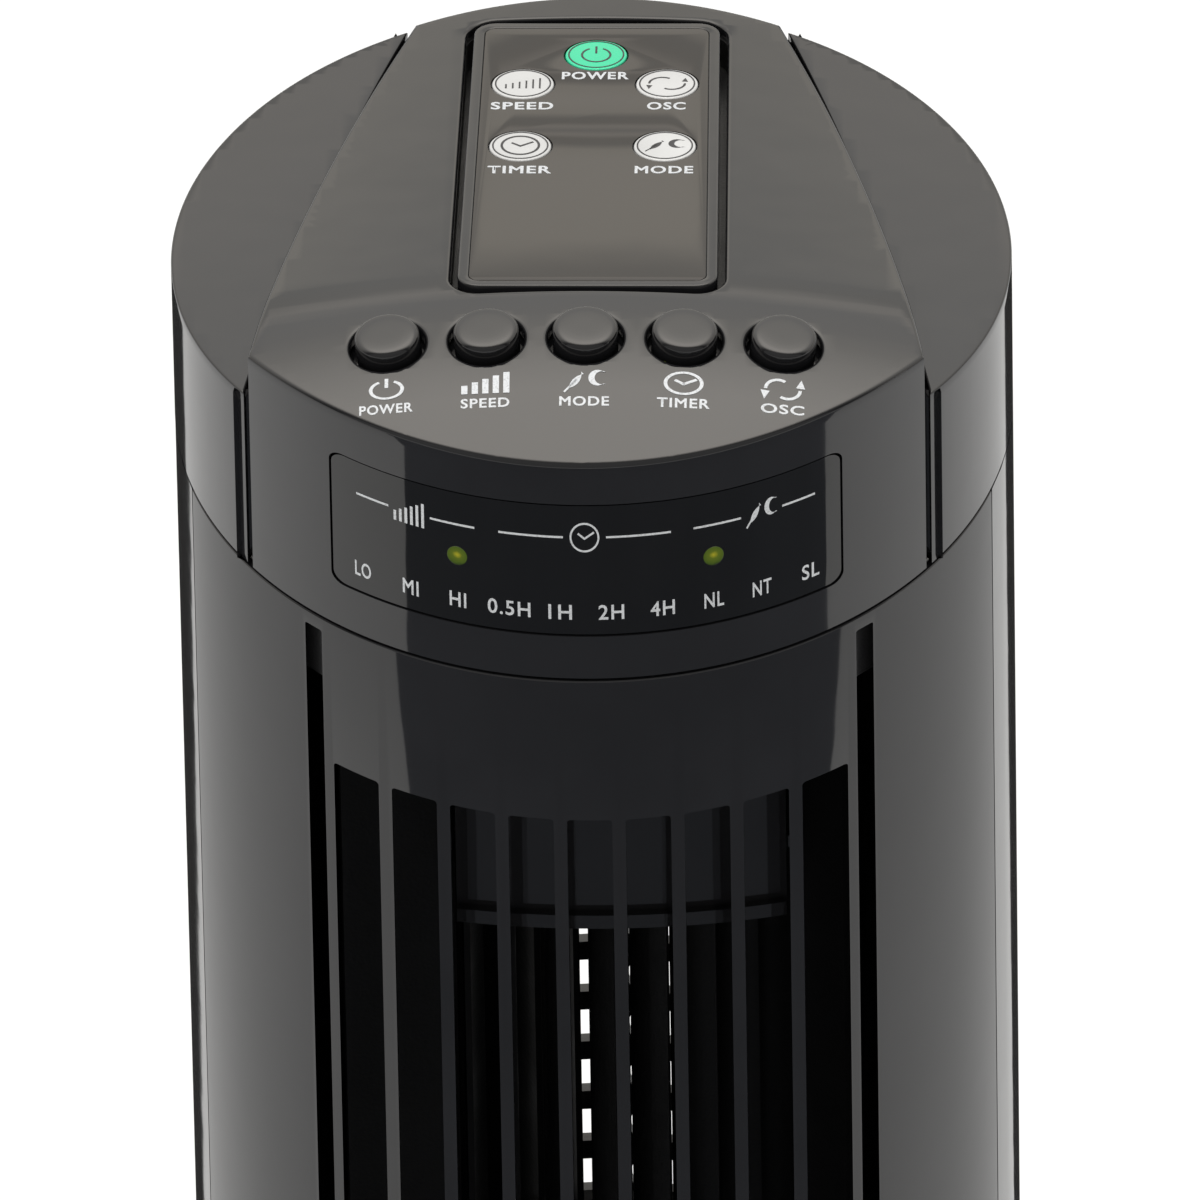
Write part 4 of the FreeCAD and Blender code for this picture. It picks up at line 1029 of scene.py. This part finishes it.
cap = cylinder("button_cap", BUTTON_R, BUTTON_FOOT, BUTTON_PROUD)
round_top(cap, BUTTON_PROUD, 1.35 * MM)
dished(cap, BUTTON_PROUD, [(0.5 * MM, 0.05 * MM), (1.2 * MM, 0.04 * MM), (1.5 * MM, 0.01 * MM)])
flange = cylinder("button_flange", 8.8 * MM, -5.2 * MM, -4.0 * MM)
button = joined("button", [cap, flange])
for name, x in zip(BUTTON_NAMES, button_x):
    lean = asin(x / CROWN_ACROSS_R)
    height = crown_height(x, BUTTON_Y)
    one = button.copy()
    one.data = button.data.copy()
    one.name = "push_" + name
    bpy.context.scene.collection.objects.link(one)
    stem = cylinder("stem", 2.2 * MM, STEM_END_Z - height, -4.5 * MM, 40)
    one = joined("push_" + name, [one, stem])
    one.data.transform(Matrix.Translation((x, BUTTON_Y, height)) @ Matrix.Rotation(lean, 4, "Y"))
    tidied(one, 35)
    dressed(one, "button_" + name, black_gloss, "black_gloss", "button_" + name)
bpy.data.objects.remove(button)

# %% [markdown]
# ## Remote control
# The remote lies in its dock with its face along the panel's fall. It is drawn lying flat at the
# origin and then carried to its place by one matrix. Its frame is a ring with a soft rim, the
# printed film lies inside it a little lower, and five round keys come up through holes in the film.

# %% Remote frame and film
REMOTE_SINK = 0.3 * MM
REMOTE_SPLIT = -4.4 * MM
KEY_R = 6.1 * MM
KEY_HOLE_R = 6.4 * MM
KEY_PLACES = {"power": (0.0, 13.4), "speed": (-14.2, 25.5), "osc": (14.2, 25.5),
              "timer": (-14.2, 51.3), "mode": (14.2, 51.3)}
key_at = {name: (x * MM, REMOTE_HALF_LENGTH - from_rear * MM) for name, (x, from_rear) in KEY_PLACES.items()}
remote_rise = SEAM_Z + CROWN_BREAK_RISE - (REMOTE_Y - CROWN_BREAK_Y) * tan(CROWN_FALL)
remote_place = (Matrix.Translation((0, REMOTE_Y, remote_rise - REMOTE_SINK / cos(CROWN_FALL)))
                @ Matrix.Rotation(-CROWN_FALL, 4, "X"))
key_holes = [ring_points(KEY_HOLE_R, place, 72) for place in key_at.values()]

rim = plate("remote_rim", [remote_outline(0.0), remote_outline(-2.2 * MM)], REMOTE_SPLIT, 0.0, 0.45 * MM, 3)
web = plate("remote_web", [remote_outline(-2.1 * MM)] + key_holes, -1.7 * MM, -0.55 * MM)
remote_top = joined("remote_case", [rim, web])
remote_top.data.transform(remote_place)
dressed(remote_top, "remote", black_gloss, "black_gloss", "remote_case_top")
film = plate("remote_film", [remote_outline(-2.25 * MM)] + key_holes, -0.5 * MM, -0.12 * MM, 0.1 * MM)
film.data.transform(remote_place)
dressed(film, "remote", overlay_film, "overlay_film", "remote_overlay")

# %% Keys
key = cylinder("key", KEY_R, -2.3 * MM, 0.0, 72)
round_top(key, 0.0, 0.35 * MM, 3)
dished(key, 0.0, [(0.8 * MM, 0.02 * MM), (2.0 * MM, 0.02 * MM)])
collar = cylinder("key_collar", KEY_R + 0.9 * MM, -2.3 * MM, -2.0 * MM, 72)
key = joined("key", [key, collar])
for name, place in key_at.items():
    one = key.copy()
    one.data = key.data.copy()
    one.name = "pad_" + name
    bpy.context.scene.collection.objects.link(one)
    one.data.transform(remote_place @ Matrix.Translation((*place, 0)))
    tidied(one, 35)
    finish = key_green if name == "power" else key_white
    dressed(one, "key_" + name, finish, slot_of["key_" + name], "key_" + name)
bpy.data.objects.remove(key)

# %% [markdown]
# ## Printed words and signs
# All lettering is ink, a few hundredths of a millimetre thick. Words come from Blender's own font:
# they are made a mesh, fitted to the width and height that they have on the product, and then put
# in place. Signs are drawn from arcs, rings and bars. The signs are plain: a broken ring for power,
# rising bars for speed, a clock, two chasing arrows, and a leaf beside a moon for the air modes.

# %% Words and signs, drawn flat around the origin
INK = 0.05 * MM
INK_ROOT = -0.08 * MM


def fitted(piece, width, height, depth=INK - INK_ROOT):
    """Scales a flat piece to a width, a height and a depth, with its middle at the origin."""
    xs = [v.co.x for v in piece.data.vertices]
    ys = [v.co.y for v in piece.data.vertices]
    zs = [v.co.z for v in piece.data.vertices]
    middle = Vector((max(xs) + min(xs), max(ys) + min(ys), 0)) / 2
    scale = Matrix.Diagonal((width / (max(xs) - min(xs)), height / (max(ys) - min(ys)),
                             depth / (max(zs) - min(zs)), 1))
    piece.data.transform(Matrix.Translation((0, 0, INK_ROOT)) @ scale
                         @ Matrix.Translation(-middle - Vector((0, 0, min(zs)))))
    return piece


def word(text, width, height, weight=0.022):
    """A word as ink of a given width and height."""
    bpy.ops.object.select_all(action="DESELECT")
    bpy.ops.object.text_add()
    letters = bpy.context.object
    letters.data.body = text
    letters.data.resolution_u = 4
    letters.data.extrude = 0.1
    letters.data.bevel_depth = weight
    letters.data.bevel_resolution = 0
    letters.data.space_character = 1.12
    bpy.ops.object.convert(target="MESH")
    piece = bpy.context.object
    piece.name = "word_" + text.replace(".", "_")
    return fitted(tidied(piece, 30, 0.0001), width, height)


def bar(x0, y0, x1, y1, thick):
    """Outline of a straight stroke."""
    along = Vector((x1 - x0, y1 - y0)).normalized()
    side = Vector((-along.y, along.x)) * thick / 2
    a, b = Vector((x0, y0)), Vector((x1, y1))
    return [tuple(a + side), tuple(a - side), tuple(b - side), tuple(b + side)]


def broken_ring(radius, thick, middle_deg=90.0, half_deg=180.0, centre=(0.0, 0.0), flat=1.0):
    """Outline of part of a ring; half_deg of 180 closes it."""
    half = radians(min(half_deg, 179.9))
    points = ring_slice(radius, radius - thick, radians(middle_deg), half, 48)
    return [(centre[0] + x, centre[1] + y * flat) for x, y in points]


def arrow_head(tip, direction_deg, size):
    """A triangle that points along a direction."""
    turn = radians(direction_deg)
    corners = [(size, 0.0), (-size * 0.55, size * 0.85), (-size * 0.55, -size * 0.85)]
    return [(tip[0] + x * cos(turn) - y * sin(turn), tip[1] + x * sin(turn) + y * cos(turn))
            for x, y in corners]


def power_sign(thick):
    return [broken_ring(3.0, thick, -90, 152), bar(0, 0.6, 0, 3.4, thick)]


def speed_sign(thick, count=5):
    pitch = 8.4 / (count - 1)
    heights = [2.2 + 3.2 * i / (count - 1) for i in range(count)]
    return [bar(-4.2 + i * pitch, 0, -4.2 + i * pitch, heights[i], thick) for i in range(count)]


def clock_sign(thick):
    return [broken_ring(3.4, thick), bar(-1.5, 0.9, 0.1, -0.35, thick), bar(-0.1, -0.35, 2.2, 1.2, thick)]


def osc_sign(thick):
    upper = broken_ring(2.6, thick, 118, 62, (-0.9, 0.0), 0.72)
    lower = broken_ring(2.6, thick, -62, 62, (0.9, 0.0), 0.72)
    return [upper, lower, arrow_head((-3.3, -0.9), -95, thick * 1.6), arrow_head((3.3, 0.9), 85, thick * 1.6)]


def mode_sign(thick):
    leaf = arc((-3.4, 1.2), 3.0, radians(-78), radians(12), 14)
    leaf += arc((0.5, -1.9), 3.2, radians(98), radians(180), 14)
    moon = arc((2.6, 0.5), 1.7, radians(50), radians(310), 24)
    moon += arc((3.5, 0.5), 1.45, radians(295), radians(65), 18)
    return [leaf, bar(-3.6, -2.6, -1.3, 0.1, thick * 0.6), moon]


SIGNS = {"power": power_sign, "speed": speed_sign, "mode": mode_sign, "timer": clock_sign, "osc": osc_sign}


def sign(name, outlines, width, height):
    """A sign as ink of a given width and height."""
    strokes = [plate(name, [[(x * MM, y * MM) for x, y in outline]], 0.0, INK) for outline in outlines]
    return fitted(joined(name, strokes), width, height)


def put(piece, place):
    piece.data.transform(place)
    return piece


# %% [markdown]
# The panel's words stand on a surface that leans in both directions, so each is turned to the
# surface's own slopes where it stands.

# %% Words and signs in front of the buttons
SIGN_Y = -63.0 * MM
WORD_Y = -67.9 * MM
SIGN_SIZES = {"power": (6.9, 5.3), "speed": (9.4, 5.3), "mode": (8.2, 5.8), "timer": (7.8, 6.0),
              "osc": (8.7, 5.4)}
WORD_WIDTHS = {"power": 10.5, "speed": 9.5, "mode": 9.7, "timer": 10.3, "osc": 8.5}


def on_panel(x, y):
    """Where the panel's surface is at x and y, and how it leans there."""
    step = 0.5 * MM
    here = Vector((x, y, crown_height(x, y)))
    right = Vector((2 * step, 0, crown_height(x + step, y) - crown_height(x - step, y))).normalized()
    back = Vector((0, 2 * step, crown_height(x, y + step) - crown_height(x, y - step))).normalized()
    out = right.cross(back).normalized()
    back = out.cross(right)
    return Matrix.Translation(here) @ Matrix((right, back, out)).transposed().to_4x4()


panel_ink = []
for name, x in zip(BUTTON_NAMES, button_x):
    width, height = SIGN_SIZES[name]
    drawn = sign("sign_" + name, SIGNS[name](1.25 if name == "speed" else 0.62), width * MM, height * MM)
    panel_ink.append(put(drawn, on_panel(x, SIGN_Y)))
    panel_ink.append(put(word(name.upper(), WORD_WIDTHS[name] * MM, 2.35 * MM), on_panel(x, WORD_Y)))
dressed(joined("panel_print", panel_ink), "tower", printed_white, "key_white")

# %% [markdown]
# The display's words lie on the bent lens, so they are drawn flat and then wrapped: a distance along
# X becomes an angle round the tower.

# %% The display's scale
LAMP_X = [x * MM for x in (-43.7, -34.3, -25.0, -15.0, -5.0, 5.0, 15.0, 25.0, 34.3, 43.7)]
SCALE_WORDS = (("LO", 3.7), ("MI", 3.4), ("HI", 3.4), ("0.5H", 8.5), ("1H", 4.6), ("2H", 5.0), ("4H", 4.8),
               ("NL", 4.0), ("NT", 4.0), ("SL", 3.9))
WORDS_RISE = 17.0 * MM
LAMPS_RISE = 28.3 * MM
LINE_RISE = 36.4 * MM
LINE_SPANS = ((-44.7, -38.4), (-30.2, -21.5), (-16.8, -4.2), (4.2, 16.8), (21.2, 30.4), (38.4, 44.7))
MARK_X = 34.4 * MM


def wrapped(piece, x, rise):
    """Bends a flat piece round the lens, with its middle at x and at a height over the seam."""
    middle = asin(x / LENS_FACE_R)
    for vertex in piece.data.vertices:
        angle = middle + vertex.co.x / LENS_FACE_R
        radius = LENS_FACE_R + vertex.co.z
        vertex.co = (radius * sin(angle), -radius * cos(angle), SEAM_Z + rise + vertex.co.y)
    return piece


def scale_line(x0, x1):
    """A thin line round the lens from one X to another."""
    a0, a1 = asin(x0 * MM / LENS_FACE_R), asin(x1 * MM / LENS_FACE_R)
    outline = ring_slice(LENS_FACE_R + INK, LENS_FACE_R + INK_ROOT, (a0 + a1) / 2 - pi / 2, (a1 - a0) / 2, 12)
    return plate("scale_line", [outline], SEAM_Z + LINE_RISE - 0.25 * MM, SEAM_Z + LINE_RISE + 0.25 * MM)


lens_ink = [wrapped(word(text, width * MM, 3.8 * MM, 0.012), x, WORDS_RISE)
            for (text, width), x in zip(SCALE_WORDS, LAMP_X)]
for x0, x1 in LINE_SPANS:
    lens_ink.append(scale_line(x0, x1))
bars = sign("scale_bars", speed_sign(0.8, 6), 6.6 * MM, 6.2 * MM)
clock = sign("scale_clock", clock_sign(0.42), 5.8 * MM, 7.6 * MM)
modes = sign("scale_modes", mode_sign(0.6), 6.6 * MM, 6.4 * MM)
lens_ink += [wrapped(bars, -MARK_X, LINE_RISE), wrapped(clock, 0.0, LINE_RISE)]
lens_ink += [wrapped(modes, MARK_X, LINE_RISE)]
dressed(joined("lens_print", lens_ink), "tower", printed_white, "key_white")

# %% [markdown]
# Two of the display's lamps are lit. Behind smoked acrylic a lamp is a soft olive spot, brightest in
# its middle. Each is a thin domed disc in a finish of its own, whose light fades towards its edge.

# %% Lit lamps
lamp_glow, shader, place = new_finish("lamp_glow", 0.12)
axes = lamp_glow.node_tree.nodes.new("ShaderNodeSeparateXYZ")
lamp_glow.node_tree.links.new(place, axes.inputs[0])
sideways = lamp_glow.node_tree.nodes.new("ShaderNodeMath")
sideways.operation = "ABSOLUTE"
lamp_glow.node_tree.links.new(axes.outputs["X"], sideways.inputs[0])
spot = lamp_glow.node_tree.nodes.new("ShaderNodeCombineXYZ")
lamp_glow.node_tree.links.new(sideways.outputs[0], spot.inputs["X"])
lamp_glow.node_tree.links.new(axes.outputs["Z"], spot.inputs["Z"])
away = lamp_glow.node_tree.nodes.new("ShaderNodeVectorMath")
away.operation = "DISTANCE"
away.inputs[1].default_value = (LAMP_X[7], 0.0, SEAM_Z + LAMPS_RISE + 0.3 * MM)
lamp_glow.node_tree.links.new(spot.outputs[0], away.inputs[0])
ripple = noise(lamp_glow, place, 1100.0, 2.0)
fade = lamp_glow.node_tree.nodes.new("ShaderNodeMath")
fade.operation = "MULTIPLY_ADD"
fade.inputs[1].default_value = 0.0006
lamp_glow.node_tree.links.new(ripple, fade.inputs[0])
lamp_glow.node_tree.links.new(away.outputs["Value"], fade.inputs[2])
brightness = ranged(lamp_glow, fade.outputs[0], 0.0, 1.0, None, 0.3 * MM, 2.9 * MM)
graded(lamp_glow, brightness, [(0.0, (0.30, 0.27, 0.010)), (0.35, (0.075, 0.105, 0.003)),
                               (0.8, (0.040, 0.070, 0.002)), (1.0, (0.012, 0.022, 0.001))],
       shader.inputs["Emission Color"])
shader.inputs["Emission Strength"].default_value = 1.0
shader.inputs["Base Color"].default_value = (0.006, 0.008, 0.003, 1)
LAMP_SPOT_R = 2.05 * MM
lamps = []
for side in (-1, 1):
    spot_disc = cylinder("lamp_spot", LAMP_SPOT_R, INK_ROOT, INK, 48)
    round_top(spot_disc, INK, 0.04 * MM, 2)
    spot_disc.data.transform(Matrix.Diagonal((1.0, 1.15, 1.0, 1.0)))
    lamps.append(wrapped(spot_disc, side * LAMP_X[7], LAMPS_RISE))
dressed(joined("lamp_spots", lamps), "tower", lamp_glow, "green_led")

# %% Words on the remote, and signs on its keys
FILM_Z = -0.12 * MM
KEY_WORDS = {"power": (13.2, 22.0), "speed": (12.3, 34.6), "osc": (7.6, 34.6), "timer": (12.5, 61.1),
             "mode": (11.5, 61.1)}
KEY_SIGNS = {"power": (6.0, 6.6), "speed": (7.0, 4.2), "osc": (8.2, 5.4), "timer": (7.8, 8.0),
             "mode": (7.8, 5.0)}
film_ink = []
for name, (width, from_rear) in KEY_WORDS.items():
    x = key_at[name][0]
    spot = Matrix.Translation((x, REMOTE_HALF_LENGTH - from_rear * MM, FILM_Z))
    film_ink.append(put(word(name.upper(), width * MM, 3.1 * MM, 0.026), remote_place @ spot))
    ring = plate("key_ring", [ring_points(5.55 * MM), ring_points(5.25 * MM)], INK_ROOT, INK)
    width, height = KEY_SIGNS[name]
    strokes = SIGNS[name](0.42, 6) if name == "speed" else SIGNS[name](0.42)
    drawn = sign("key_sign", strokes, width * MM, height * MM)
    on_key = remote_place @ Matrix.Translation((*key_at[name], 0.03 * MM))
    marks = put(joined("pad_print_" + name, [ring, drawn]), on_key)
    dressed(marks, "key_" + name, printed_dark, "black_matt")
dressed(joined("film_print", film_ink), "remote", printed_white, "key_white")

# %% [markdown]
# ## The other mouldings
# The remaining shells, ducts and wheels have the right shape already, but they came as loose
# triangles, which show every facet of a curve. A copy of each is welded and shaded smooth where the
# surface turns gently, while its real edges stay crisp. The copy stands for the part it came from.

# %% Smooth copies
SMOOTHED = (
    "rear_shell", "rear_grille", "bottom_housing", "turntable", "base_shell", "base_plate", "rubber_feet",
    "duct_left", "duct_right", "duct_top", "duct_bottom", "impeller_blades", "impeller_discs",
    "remote_dock", "remote_case_bottom", "cord_gland",
)
WELD = 0.004 * MM
SMOOTH_UP_TO = radians(28)


def smooth_copy(node):
    """A welded, smoothly shaded copy of a loaded part, on the same body and in the same finish."""
    part = nodes[node]
    piece = part.copy()
    piece.data = part.data.copy()
    piece.name = node + "_skin"
    piece.data.name = piece.name
    for key in list(piece.keys()):
        del piece[key]
    piece.parent = None
    piece.matrix_world = Matrix.Identity(4)
    bpy.context.scene.collection.objects.link(piece)
    alone(piece)
    if piece.data.has_custom_normals:
        bpy.ops.mesh.customdata_custom_splitnormals_clear()
    bpy.ops.object.mode_set(mode="EDIT")
    bpy.ops.mesh.select_all(action="SELECT")
    bpy.ops.mesh.remove_doubles(threshold=WELD)
    bpy.ops.object.mode_set(mode="OBJECT")
    bpy.ops.object.shade_smooth_by_angle(angle=SMOOTH_UP_TO)
    return dressed(piece, body_of(part)[0], finish_of[node], slot_of[node], node)


for node in SMOOTHED:
    smooth_copy(node)
